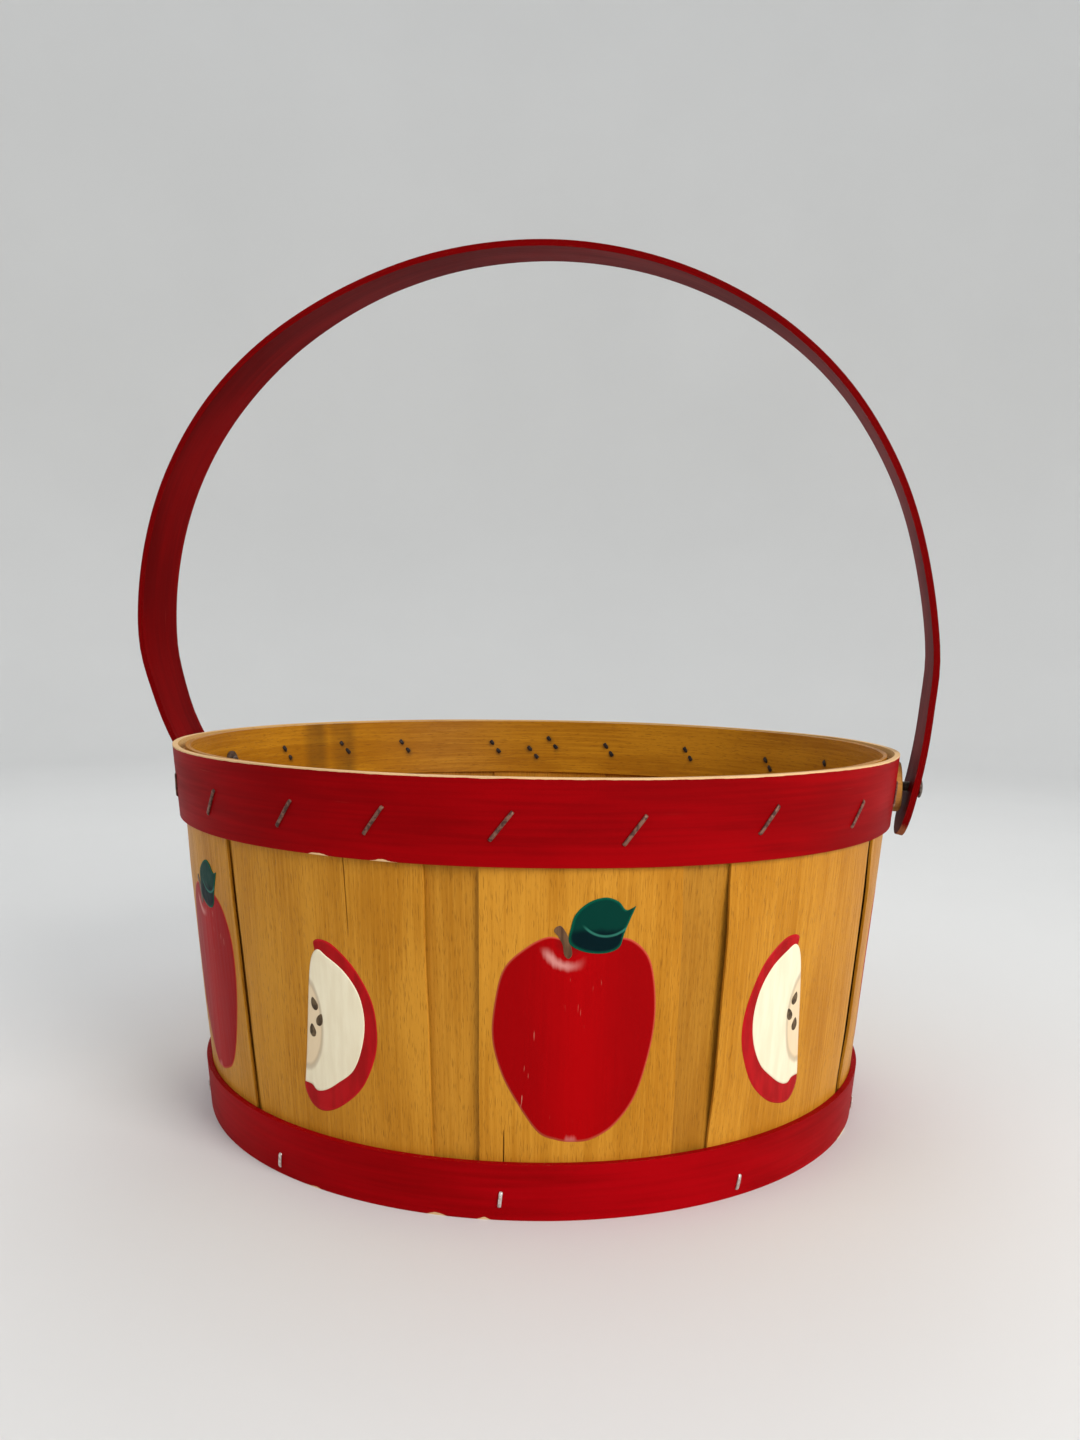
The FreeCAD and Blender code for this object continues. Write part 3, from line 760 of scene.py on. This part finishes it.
def lining_hoop():
    """The inner hoop, stained round the staple points, with one strip end showing inside."""
    node = "top_inner_hoop"
    low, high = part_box(node)[0].z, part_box(node)[1].z
    spots = point_spots(RIM_STAPLES, RIM_CROWN, RIM_TILT, 2.7 * MM)
    draw = random.Random(7)
    spots = [(a, h, draw.uniform(0.65, 0.98), draw.uniform(1.2, 2.0) * MM) for a, h in spots]

    def place(s, t, side):
        azimuth = 360 * s
        x, y = math.cos(math.tau * s) * 2.4, math.sin(math.tau * s) * 2.4
        top = high + 0.25 * MM * noise.noise(Vector((x, y, 31.0)))
        height = low + (top - low) * t
        inner = lining_lift(azimuth)
        inner += 0.08 * MM * noise.noise(Vector((3 * x, 3 * y, 33 + height * 60)))
        depth = LINING_DEPTH + (LINING + inner if side else 0)
        # painted shadow of the bow: two soft, unevenly dark stripes
        cloud = 0.7 + 0.5 * wobble(height * 30, azimuth * 0.2, 3)
        near = min(abs(turn_between(azimuth, stripe)) for stripe in BOW_SHADOW_AZIMUTHS)
        dark = BOW_SHADOW_DARKNESS * cloud * (1 - smooth(near, 1, 4))
        if side:
            for a, h, strength, wide in spots:
                across = turn_between(azimuth, a)
                if abs(across) < 4:
                    gap = math.hypot(along_rim(across), height - h)
                    dark = max(dark, strength * math.exp(-((gap / wide) ** 2)))
        edge = min(t, 1 - t) * (high - low)
        arc = from_lap(azimuth, LINING_LAP)
        return wall(azimuth, height, depth), (arc, height, 9 + depth), edge, dark

    along = [0, 0.012] + even(22, 0.05, 0.95) + [0.988, 1]
    across = around(720, LINING_LAP)
    materials = [LINING_WOOD]
    piece = slab("lining_hoop", across, along, place, "basket", "varnished_wood", materials, True)
    soften(piece, 0.25 * MM)
    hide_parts(node)


# ---------------------------------------------------------------- staples
def wire(points, faces, kinds, kind, path, wide, half_width, half_thick):
    """Adds a closed wire of rounded section along a path; wide is its constant width direction."""
    start, sides = len(points), 10
    for index, here in enumerate(path):
        before, after = path[max(index - 1, 0)], path[min(index + 1, len(path) - 1)]
        thick = wide.cross(after - before).normalized()
        end = 0.55 if index in (0, len(path) - 1) else 1.0
        for i in range(sides):
            turn = math.tau * i / sides
            u = math.copysign(abs(math.cos(turn)) ** 0.6, math.cos(turn)) * half_width
            v = math.copysign(abs(math.sin(turn)) ** 0.6, math.sin(turn)) * half_thick
            points.append(here + wide * u * end + thick * v * end)
    for j in range(len(path) - 1):
        for i in range(sides):
            a, b = start + j * sides + i, start + j * sides + (i + 1) % sides
            faces.append((a, b, b + sides, a + sides))
            kinds.append(kind)
    for first in (start, start + (len(path) - 1) * sides):
        faces.append(tuple(first + i for i in range(sides)))
        kinds.append(kind)


# staples: the legs' depth, the crown's stand and bend, half the thickness
LEG_DEPTH, CROWN_STAND, CROWN_BEND, WIRE_HALF = 2.0 * MM, 0.42 * MM, 0.45 * MM, 0.36 * MM
# clinched points: half the width, and the distance inside the crown's end
POINT_HALF, POINT_INSET = 0.95 * MM, 1.6 * MM


def staple_ring(name, node, places, crown, tilt, lift, sink, width, materials, clinched, seed):
    """All the staples of a hoop: bent crowns outside and, where clinched, points lying inside."""
    points, faces, kinds = [], [], []
    draw = random.Random(seed)
    for azimuth, height in places:
        azimuth += draw.uniform(-0.15, 0.15)
        turn = math.radians(tilt + draw.uniform(-3, 3))
        a = math.radians(azimuth)
        across = Vector((math.cos(a), math.sin(a), 0))
        lean = math.atan(SLOPE)
        up = Vector((math.sin(a) * math.sin(lean), -math.cos(a) * math.sin(lean), math.cos(lean)))
        out = across.cross(up).normalized()
        along = across * math.cos(turn) + up * math.sin(turn)
        wide = out.cross(along).normalized()
        seat = wall(azimuth, height, 0) + out * lift(azimuth)
        half, bend, top = crown / 2, CROWN_BEND, CROWN_STAND - sink
        arch = [(half, -LEG_DEPTH), (half, top - bend), (half - 0.25 * bend, top - 0.28 * bend)]
        arch += [(half - bend, top), (0.5 * (half - bend), top + 0.04 * MM)]
        arch = [(-x, y) for x, y in arch] + [(0, arch[-1][1])] + arch[::-1]
        path = [seat + along * x + out * y for x, y in arch]
        wire(points, faces, kinds, 0, path, wide, width / 2, WIRE_HALF)
        if not clinched:
            continue
        sunk = INSIDE_DEPTH * math.cos(lean) + lift(azimuth) + lining_lift(azimuth)
        inside = seat - out * sunk
        for way in (-1, 1):
            reach = draw.uniform(2.4, 3.4) * MM
            start = inside + along * way * (half - POINT_INSET)
            point = [(0, 0.9 * MM), (0, 0.2 * MM), (0.4 * MM, -0.18 * MM)]
            point += [(0.7 * reach, -0.18 * MM), (reach, 0.15 * MM)]
            path = [start - along * way * x + out * y for x, y in point]
            wire(points, faces, kinds, 1, path, wide, POINT_HALF, 0.38 * MM)
    piece = make_piece(name, points, faces, "basket", "steel", materials, kinds)
    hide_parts(node)


# ---------------------------------------------------------------- handle
BOW_TOP, BOW_HALF, BOW_LOW = 353.3 * MM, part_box("handle_bow")[1].x, PIVOT.z - 20.5 * MM
BOW_WIDTH, BOW_THICK = 26.0 * MM, 2.6 * MM
LEG_SPREAD, BOW_REST = math.radians(13.0), math.radians(4.5)
# how far each side of the bow stands to the left of its true line: height over the pivot, shift
SWAY_LEFT = [(-21, 0), (-8, 0), (0, 1.0), (20, 6.0), (45, 7.8), (90, 8.3), (160, 8.5), (222, 6.0)]
SWAY_RIGHT = [(-21, 0), (2, 0), (18, 1.0), (45, 4.4), (85, 7.4), (130, 7.0), (175, 5.2), (222, 3.8)]
TWIST = math.radians(6.0)
PIVOT_X, SIDE_RADIUS, LOW_RADIUS = 159.0 * MM, 157.0 * MM, 81.3 * MM


def bow_line(steps):
    """The bow's outside line from the right foot to the left: point, outward direction, run."""
    inset = BOW_HALF - PIVOT_X - LOW_RADIUS * (1 - math.cos(LEG_SPREAD))
    bend = (PIVOT_X + inset, PIVOT.z + inset / math.tan(LEG_SPREAD))
    foot = (PIVOT_X - (PIVOT.z - BOW_LOW) * math.tan(LEG_SPREAD), BOW_LOW)
    wide_z = bend[1] + LOW_RADIUS * math.sin(LEG_SPREAD)
    rise, side_x = BOW_TOP - wide_z, BOW_HALF - SIDE_RADIUS
    crown = (rise**2 + side_x**2 - SIDE_RADIUS**2) / (2 * (rise - SIDE_RADIUS))
    meet = math.atan2(wide_z - (BOW_TOP - crown), side_x)
    half = []
    leg = math.hypot(bend[0] - foot[0], bend[1] - foot[1])
    for distance in LEG_STOPS + even(8, BOW_WIDTH / 2 + 3 * MM, leg):
        k = distance / leg
        spot = (foot[0] + (bend[0] - foot[0]) * k, foot[1] + (bend[1] - foot[1]) * k)
        half.append((spot, -LEG_SPREAD))
    arcs = [
        (BOW_HALF - LOW_RADIUS, wide_z, LOW_RADIUS, -LEG_SPREAD, 0.0),
        (BOW_HALF - SIDE_RADIUS, wide_z, SIDE_RADIUS, 0.0, meet),
        (0.0, BOW_TOP - crown, crown, meet, math.pi / 2),
    ]
    for x, z, radius, start, end in arcs:
        count = max(4, int(steps * radius * (end - start)))
        for turn in even(count, start, end)[1:]:
            half.append(((x + radius * math.cos(turn), z + radius * math.sin(turn)), turn))
    whole = half + [((-x, z), math.pi - turn) for (x, z), turn in reversed(half[:-1])]
    line, run, before = [], 0.0, None
    for (x, z), turn in whole:
        here = Vector((x, 0, z))
        run += (here - before).length if before is not None else 0.0
        before = here
        line.append((here, Vector((math.cos(turn), 0, math.sin(turn))), run))
    return line


# stops along the half-round foot of each leg, closer together near its end
FOOT_TURNS = (3, 9, 16, 24, 33, 43, 54, 66, 78, 90)
LEG_STOPS = [BOW_WIDTH / 2 * (1 - math.cos(math.radians(a))) for a in FOOT_TURNS]


def eased(stops, value):
    """A smooth line through stops in millimetres, read in metres."""
    value = min(max(value / MM, stops[0][0]), stops[-1][0])
    slopes = [(b[1] - a[1]) / (b[0] - a[0]) for a, b in zip(stops, stops[1:])]
    slopes = [slopes[0]] + [(a + b) / 2 for a, b in zip(slopes, slopes[1:])] + [slopes[-1]]
    for (low, start), (high, end), leave, arrive in zip(stops, stops[1:], slopes, slopes[1:]):
        if value <= high:
            run, t = high - low, (value - low) / (high - low)
            ends = start * (1 + 2 * t) * (1 - t) ** 2 + end * t**2 * (3 - 2 * t)
            return (ends + run * (leave * t * (1 - t) ** 2 + arrive * t**2 * (t - 1))) * MM
    return stops[-1][1] * MM


def sway(here):
    """How far the bow stands to the left of its true line, eased over the crown."""
    up, right = here.z - PIVOT.z, smooth(here.x, -120 * MM, 120 * MM)
    return eased(SWAY_LEFT, up) * (1 - right) + eased(SWAY_RIGHT, up) * right


def handle():
    line = bow_line(230)
    total = line[-1][2]
    resting = Matrix.Rotation(BOW_REST, 3, "X")

    def place(s, t, side):
        here, out, run = line[round(s * (len(line) - 1))]
        from_end = min(run, total - run)
        half = BOW_WIDTH / 2
        if from_end < half:
            half = math.sqrt(max(half**2 - (half - from_end) ** 2, (0.4 * MM) ** 2))
        free = smooth(from_end, 45 * MM, 90 * MM)
        half *= 1 - 0.02 * free * (1 + wobble(run * 9, 0.4, 3))
        y = (2 * t - 1) * half
        shift = free * 0.5 * MM * wobble(run * 11, 2.2, 5)
        cup = 0.12 * MM * (1 - (2 * t - 1) ** 2) * free
        inward = side * (BOW_THICK - 0.03 * MM) + (0 if side else cup * 0.5)
        inward += free * 0.10 * MM * (1 + wobble(run * 30, t * 1.5, 9))
        twisted = smooth(-here.x, 60 * MM, 140 * MM) * smooth(from_end, 40 * MM, 90 * MM)
        inward += y * math.tan(TWIST) * twisted
        point = here - out * inward + Vector((0, y + shift, 0))
        point.x -= sway(here)
        point = PIVOT + resting @ (point - PIVOT)
        edge = min((1 - abs(2 * t - 1)) * half, from_end) + 0.2 * MM
        edge -= 0.9 * MM * (1 - smooth(from_end, 2 * MM, 9 * MM))
        return point, (run, y, 15 + side * 0.3), edge, 0.0

    across = even(len(line))
    rows = [0, 0.02, 0.06, 0.14, 0.3, 0.5, 0.7, 0.86, 0.94, 0.98, 1]
    piece = slab("bow_handle", across, rows, place, "handle", "red_paint", [BOW_RED])
    soften(piece, 0.4 * MM, 3)
    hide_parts("handle_bow")


def rivets():
    """Domed rivets through the legs; the frame's own spacers and washers get their finishes."""
    for side, way in (("right", 1), ("left", -1)):
        low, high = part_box(f"{side}_rivet")
        tip, top = (low.x, high.x) if way > 0 else (-high.x, -low.x)
        neck, tail = top - 1.7 * MM, tip + 1.0 * MM
        profile = [(0, tip), (2.2 * MM, tip), (2.8 * MM, tip + 0.15 * MM), (3.1 * MM, tip + 0.5 * MM)]
        profile += [(3.0 * MM, tail), (2.0 * MM, tail), (2.0 * MM, neck), (4.3 * MM, neck)]
        for turn in even(8, 0, math.pi / 2):
            radius = 4.6 * MM * math.cos(turn)
            dome = neck + 0.25 * MM + 1.45 * MM * math.sin(turn)
            profile.append((radius if turn < 1.5 else 0, dome))
        lying = Matrix.Rotation(way * math.pi / 2, 4, "Y")
        shape = turned(profile, Matrix.Translation((0, 0, PIVOT.z)) @ lying, 40)
        piece = make_piece(f"pivot_rivet_{side}", *shape, "basket", "steel", [RIVET_STEEL])
        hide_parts(f"{side}_rivet")
        for node, material, width in (("spacer", SPACER_WOOD, 0.3), ("washer", RIVET_STEEL, 0.12)):
            made = frame["nodes"][f"{side}_{node}"]
            made.data.materials.clear()
            made.data.materials.append(material)
            soften(made, width * MM, 2, 35)


# ---------------------------------------------------------------- bottom
# the boards' edges in shares of the radius, and the points along each curved edge
BOARDS, BOARD_STEPS = [(-1.0, -0.315), (-0.311, 0.338), (0.342, 1.0)], 60


def bottom_boards():
    """Three boards cut to the round, side by side."""
    low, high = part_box("bottom_disc")
    foot = BASE_RADIUS + SLOPE * low.z - LINING_DEPTH
    rim = high.y
    for number, (near, far) in enumerate(BOARDS, 1):
        points, values = [], []
        for radius, height in ((foot, low.z), (rim, high.z)):
            start, end = math.asin(near), math.asin(far)
            turns = even(BOARD_STEPS, start, end)
            right = [(radius * math.cos(t), radius * math.sin(t)) for t in turns]
            left = [(-x, y) for x, y in reversed(right)]
            ring = right + left
            if number == 1:
                ring = ring[1:]
            if number == 3:
                ring.pop(BOARD_STEPS - 1)
            points += [Vector((x, y, height)) for x, y in ring]
            values += [(x, y, 20 + number * 0.7 + height) for x, y in ring]
        count = len(points) // 2
        faces = [tuple(range(count)), tuple(range(count, 2 * count))]
        for i in range(count):
            j = (i + 1) % count
            faces.append((i, j, count + j, count + i))
        name = f"bottom_board_{number}"
        values = {"grain": values}
        piece = make_piece(name, points, faces, "basket", "bare_wood", [BARE_WOOD], None, values)
        soften(piece, 0.4 * MM)
        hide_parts("bottom_disc")


# ---------------------------------------------------------------- painted fruit
def rounded(corners, per_span=8):
    """A smooth closed line through its corners; a corner given twice stays sharp."""
    line, count = [], len(corners)
    for i in range(count):
        a, b, c, d = (Vector(corners[(i + k) % count]) for k in (-1, 0, 1, 2))
        if (c - b).length < 1e-9:
            continue
        if (b - a).length < 1e-9:
            a = b - (c - b)
        if (d - c).length < 1e-9:
            d = c + (c - b)
        for k in range(per_span):
            t = k / per_span
            square, cube = 2 * a - 5 * b + 4 * c - d, 3 * b - a - 3 * c + d
            line.append(0.5 * (2 * b + (c - a) * t + square * t**2 + cube * t**3))
    return line


RINGS = (0.0, 0.2, 0.4, 0.6, 0.78, 0.9, 0.97, 1.0)
PAINT_LAYER = 0.085 * MM


def paint_shape(build, outline, layer, kind, stave, azimuth, height, flip):
    """Adds one thin closed patch of paint that follows the stave."""
    points, faces, kinds, spots, rims = build
    centre = sum(outline, Vector((0, 0))) / len(outline)
    count = len(outline)

    def put(x, y, proud, ring):
        turn = math.degrees(flip * x / (BASE_RADIUS + SLOPE * (height + y) - STAVE_DEPTH))
        points.append(stave_face(stave, azimuth + turn, height + y, proud))
        spots.append((x, y, stave * 0.13))
        rims.append(ring)

    sheets = []
    for top in (True, False):
        rows = []
        for ring in RINGS:
            proud = PAINT_LAYER * (layer if top else -1.5)
            if top and ring == 1.0:
                proud -= PAINT_LAYER * 0.55
            rows.append(len(points))
            if ring == 0:
                put(centre.x, centre.y, proud, ring)
                continue
            for corner in outline:
                spot = centre + (corner - centre) * ring
                put(spot.x, spot.y, proud, ring)
        sheets.append(rows)
        for i in range(count):
            j = (i + 1) % count
            faces.append((rows[0], rows[1] + i, rows[1] + j))
            for low, high in zip(rows[1:], rows[2:]):
                faces.append((low + i, high + i, high + j, low + j))
    for i in range(count):
        j = (i + 1) % count
        top, foot = sheets[0][-1], sheets[1][-1]
        faces.append((top + i, foot + i, foot + j, top + j))
    kinds += [kind] * (len(faces) - len(kinds))


def scaled(corners):
    return [(x * MM, y * MM) for x, y in corners]


# outlines in mm from the middle of each picture, x across and y up
APPLE = [
    (0, 32), (-3.8, 34.4), (-9.8, 35.6), (-17.4, 32), (-23.4, 24.5), (-26.4, 13), (-26.6, 1),
    (-23.8, -11), (-18, -22.5), (-10.9, -31), (-5.4, -34.3), (0, -34.6), (6.5, -33.8), (14.2, -29.5),
    (20.7, -20), (25.1, -6), (26.8, 7), (26.4, 19.4), (23.4, 28.8), (18, 34), (10.9, 35.6),
    (4.4, 34.2),
]
STEM = [
    (-7.9, 37.6), (-6.9, 39.2), (-5.3, 38.9), (-2.9, 35), (-1.7, 30.2), (-2.9, 28.4), (-4.2, 29.6),
    (-4.9, 33.2), (-6.5, 36),
]
LEAF = [
    (-2.6, 33.5), (-2.7, 38.4), (-1.0, 43), (3.4, 46.6), (8.4, 48), (12.6, 46.6), (15.4, 44.2),
    (18.8, 45), (18.8, 45), (16.8, 40.4), (14.8, 36.4), (13.2, 32), (8.6, 29.6), (2.4, 30.2),
]
SKIN = [
    (-10.6, 25.2), (-11.0, 28.2), (-8.4, 29.8), (-2.6, 28.8), (5.6, 23.0), (11.8, 13.6), (14.8, 4),
    (14.2, -6), (9.8, -18.2), (2.0, -26.8), (-5.4, -30.8), (-10.8, -30.8), (-14.4, -26.8),
    (-14.8, -22.8), (-13.2, -21.2), (-11.4, 0),
]
FLESH = [
    (-14.6, -22.6), (-14.6, -22.6), (-11.6, -22.8), (-9, -24.4), (-5.4, -23.4), (-0.4, -19.6),
    (5.6, -13.2), (9.2, -4.4), (9.8, 5), (7.4, 13.8), (1.8, 20.6), (-5.4, 24.8), (-9.6, 26.0),
    (-12.2, 22), (-13.2, 12), (-14.0, -8),
]
SEED = [
    (0, 2.4), (-1.1, 1.0), (-1.4, -0.7), (-0.8, -2.0), (0, -2.3), (0.9, -1.9), (1.4, -0.6), (1.0, 1.0),
]
SLICE_LEAN, SLICE_RISE = math.radians(4.5), 1.0


def leaning(corners):
    """A slice's outline with its top turned towards the skin."""
    cos, sin = math.cos(SLICE_LEAN), math.sin(SLICE_LEAN)
    return [(x * cos + y * sin, y * cos - x * sin + SLICE_RISE) for x, y in corners]


def seed_shape(x, y, lean):
    """A small pointed seed."""
    turn = math.radians(lean)
    cos, sin = math.cos(turn), math.sin(turn)
    return rounded(scaled([(x + u * cos - v * sin, y + u * sin + v * cos) for u, v in SEED]), 3)


def painted(name, parts, stave, azimuth, height, flip, materials):
    build = ([], [], [], [], [])
    for outline, layer, kind in parts:
        paint_shape(build, outline, layer, kind, stave, azimuth, height, flip)
    points, faces, kinds, spots, rims = build
    values = {"spot": spots, "rim": rims}
    make_piece(name, points, faces, "basket", "red_paint", materials, kinds, values)


def vary(corners, seed, much=0.35):
    """The same shape by a hand that never repeats it exactly."""
    draw = random.Random(seed)
    swell = 1 + draw.uniform(-0.02, 0.02)
    moved, last = [], None
    for corner in corners:
        if corner != last:
            shift = (draw.uniform(-much, much), draw.uniform(-much, much))
        moved.append((corner[0] * swell + shift[0], corner[1] * swell + shift[1]))
        last = corner
    return moved


def apple(stave, azimuth, height):
    parts = [
        (rounded(scaled(vary(APPLE, stave))), 1, 0),
        (rounded(scaled(vary(STEM, stave + 20, 0.15))), 2, 1),
        (rounded(scaled(vary(LEAF, stave + 40))), 3, 2),
    ]
    painted(f"apple_{stave:02d}", parts, stave, azimuth, height, 1, FRUIT)


def slice_of_apple(stave, azimuth, height, flip):
    parts = [
        (rounded(scaled(leaning(vary(SKIN, stave, 0.25)))), 1, 0),
        (rounded(scaled(leaning(vary(FLESH, stave + 20, 0.2)))), 2, 1),
        (seed_shape(-10.0, 8.4, 18), 3, 2),
        (seed_shape(-8.0, 3.0, -22), 3, 2),
        (seed_shape(-11.4, -1.2, 6), 3, 2),
    ]
    painted(f"slice_{stave:02d}", parts, stave, azimuth, height, flip, SLICE)


# ---------------------------------------------------------------- build the basket
for number in range(1, STAVE_COUNT + 1):
    outer_stave(number)
    inner_stave(number)

# rubbed places of the hoops: azimuth, half width, edge (0 low, 1 high) and how deep
RIM_SCUFFS = [
    (-17.2, 3.2, 0, 1.25 * MM),
    (-7.9, 2.8, 0, 1.25 * MM),
    (38, 6, 1, 0.5 * MM),
    (140, 5, 0, 1.4 * MM),
    (221, 4, 0, 1.5 * MM),
    (262, 6, 1, 0.9 * MM),
    (302, 7, 1, 0.4 * MM),
]
BASE_SCUFFS = [
    (-2.2, 2, 0, 1.3 * MM),
    (4.9, 1.6, 0, 1.1 * MM),
    (-22, 4, 0, 0.8 * MM),
    (74, 5, 0, 1.2 * MM),
    (200, 6, 0, 1.5 * MM),
]
RIM_SEED, BASE_SEED = 3.1, 8.4
band(
    "rim_hoop", "top_outer_hoop", RIM_LOW, RIM_HEIGHT, RIM_LAP, RIM_SCUFFS, HOOP_RED, RIM_SEED, True
)
band("base_hoop", "bottom_hoop", 0.0, BASE_HIGH, BASE_LAP, BASE_SCUFFS, BASE_RED, BASE_SEED)
lining_hoop()
staple_ring(
    "rim_staple_wires", "rim_staples", RIM_STAPLES, RIM_CROWN, RIM_TILT, rim_lift, 0.1 * MM, 1.3 * MM,
    [RUSTY, DARK_POINT], True, 5,
)
staple_ring(
    "base_staple_wires", "base_staples", BASE_STAPLES, BASE_CROWN, BASE_TILT, base_lift, 0.12 * MM,
    1.25 * MM, [BRIGHT], False, 6,
)
handle()
rivets()
bottom_boards()

# stave, azimuth and height in mm of each picture's middle, and which way a slice faces
APPLES = [(1, 16.7, 61.0), (3, 89.3, 60.0), (5, 167.5, 61.0), (7, -120.5, 60.5), (9, -49.0, 60.0)]
SLICES = [
    (2, 47.2, 58.5, -1),
    (4, 125.5, 58.0, -1),
    (6, -155.0, 59.0, 1),
    (8, -87.5, 58.5, -1),
    (10, -16.2, 58.0, 1),
]
for stave, azimuth, height in APPLES:
    apple(stave, azimuth, height * MM)
for stave, azimuth, height, flip in SLICES:
    slice_of_apple(stave, azimuth, height * MM, flip)


# ---------------------------------------------------------------- camera, lights and floor
CAMERA_AZIMUTH, CAMERA_DISTANCE, CAMERA_HEIGHT = 11.1, 0.5063, 0.1861
PITCH, YAW, ROLL = 3.37, 0.15, 0.89
FOCAL_LENGTH = 29.02


def camera():
    lens = bpy.data.cameras.new("camera")
    lens.lens = FOCAL_LENGTH
    lens.sensor_width = 36.0
    lens.clip_start, lens.clip_end = 0.01, 20.0
    eye = add_object("camera", lens)
    turn = math.radians(CAMERA_AZIMUTH)
    across, back = CAMERA_DISTANCE * math.sin(turn), -CAMERA_DISTANCE * math.cos(turn)
    eye.location = (across, back, CAMERA_HEIGHT)
    level = Matrix.Rotation(math.radians(CAMERA_AZIMUTH - YAW), 4, "Z")
    tilt = Matrix.Rotation(math.radians(90 - PITCH), 4, "X")
    roll = Matrix.Rotation(math.radians(ROLL), 4, "Z")
    eye.rotation_euler = (level @ tilt @ roll).to_euler()
    bpy.context.scene.camera = eye


def lamp(name, azimuth, elevation, distance, size, power, colour):
    light = bpy.data.lights.new(name, "AREA")
    light.shape = "DISK"
    light.size, light.energy, light.color = size, power, colour
    made = add_object(name, light)
    a, e = math.radians(azimuth), math.radians(elevation)
    away = Vector((math.sin(a) * math.cos(e), -math.cos(a) * math.cos(e), math.sin(e)))
    target = Vector((0, 0, 0.12))
    made.location = target + away * distance
    made.rotation_euler = (-away).to_track_quat("-Z", "Y").to_euler()


def studio():
    """A pale floor that curves up into a wall all round, so no horizon shows."""
    flat, bend, top = 1.5, 0.7, 2.6
    profile = [(0.0, 0.0), (flat, 0.0)]
    for t in even(12, 0, math.pi / 2)[1:]:
        profile.append((flat + bend * math.sin(t), bend * (1 - math.cos(t))))
    profile.append((flat + bend, top))
    points, faces = turned(profile[::-1], Matrix.Identity(4), 96)
    mesh = bpy.data.meshes.new("floor")
    mesh.from_pydata([tuple(p) for p in points], [], faces)
    mesh.polygons.foreach_set("use_smooth", [True] * len(mesh.polygons))
    mesh.materials.append(pale_floor())
    add_object("floor", mesh)

    world = bpy.data.worlds.new("soft_daylight")
    world.use_nodes = True
    sky = world.node_tree.nodes["Background"].inputs
    sky[0].default_value, sky[1].default_value = (0.93, 0.96, 1.0, 1.0), 0.9
    bpy.context.scene.world = world
    lamp("key", 50, 24, 1.6, 0.8, 19.0, (1.0, 0.97, 0.93))
    lamp("fill", -50, 35, 1.7, 1.2, 3.0, (0.95, 0.97, 1.0))
    lamp("back", 190, 50, 1.6, 1.0, 5.0, (1.0, 1.0, 1.0))
    bpy.context.scene.view_settings.view_transform = "Standard"


camera()
studio()
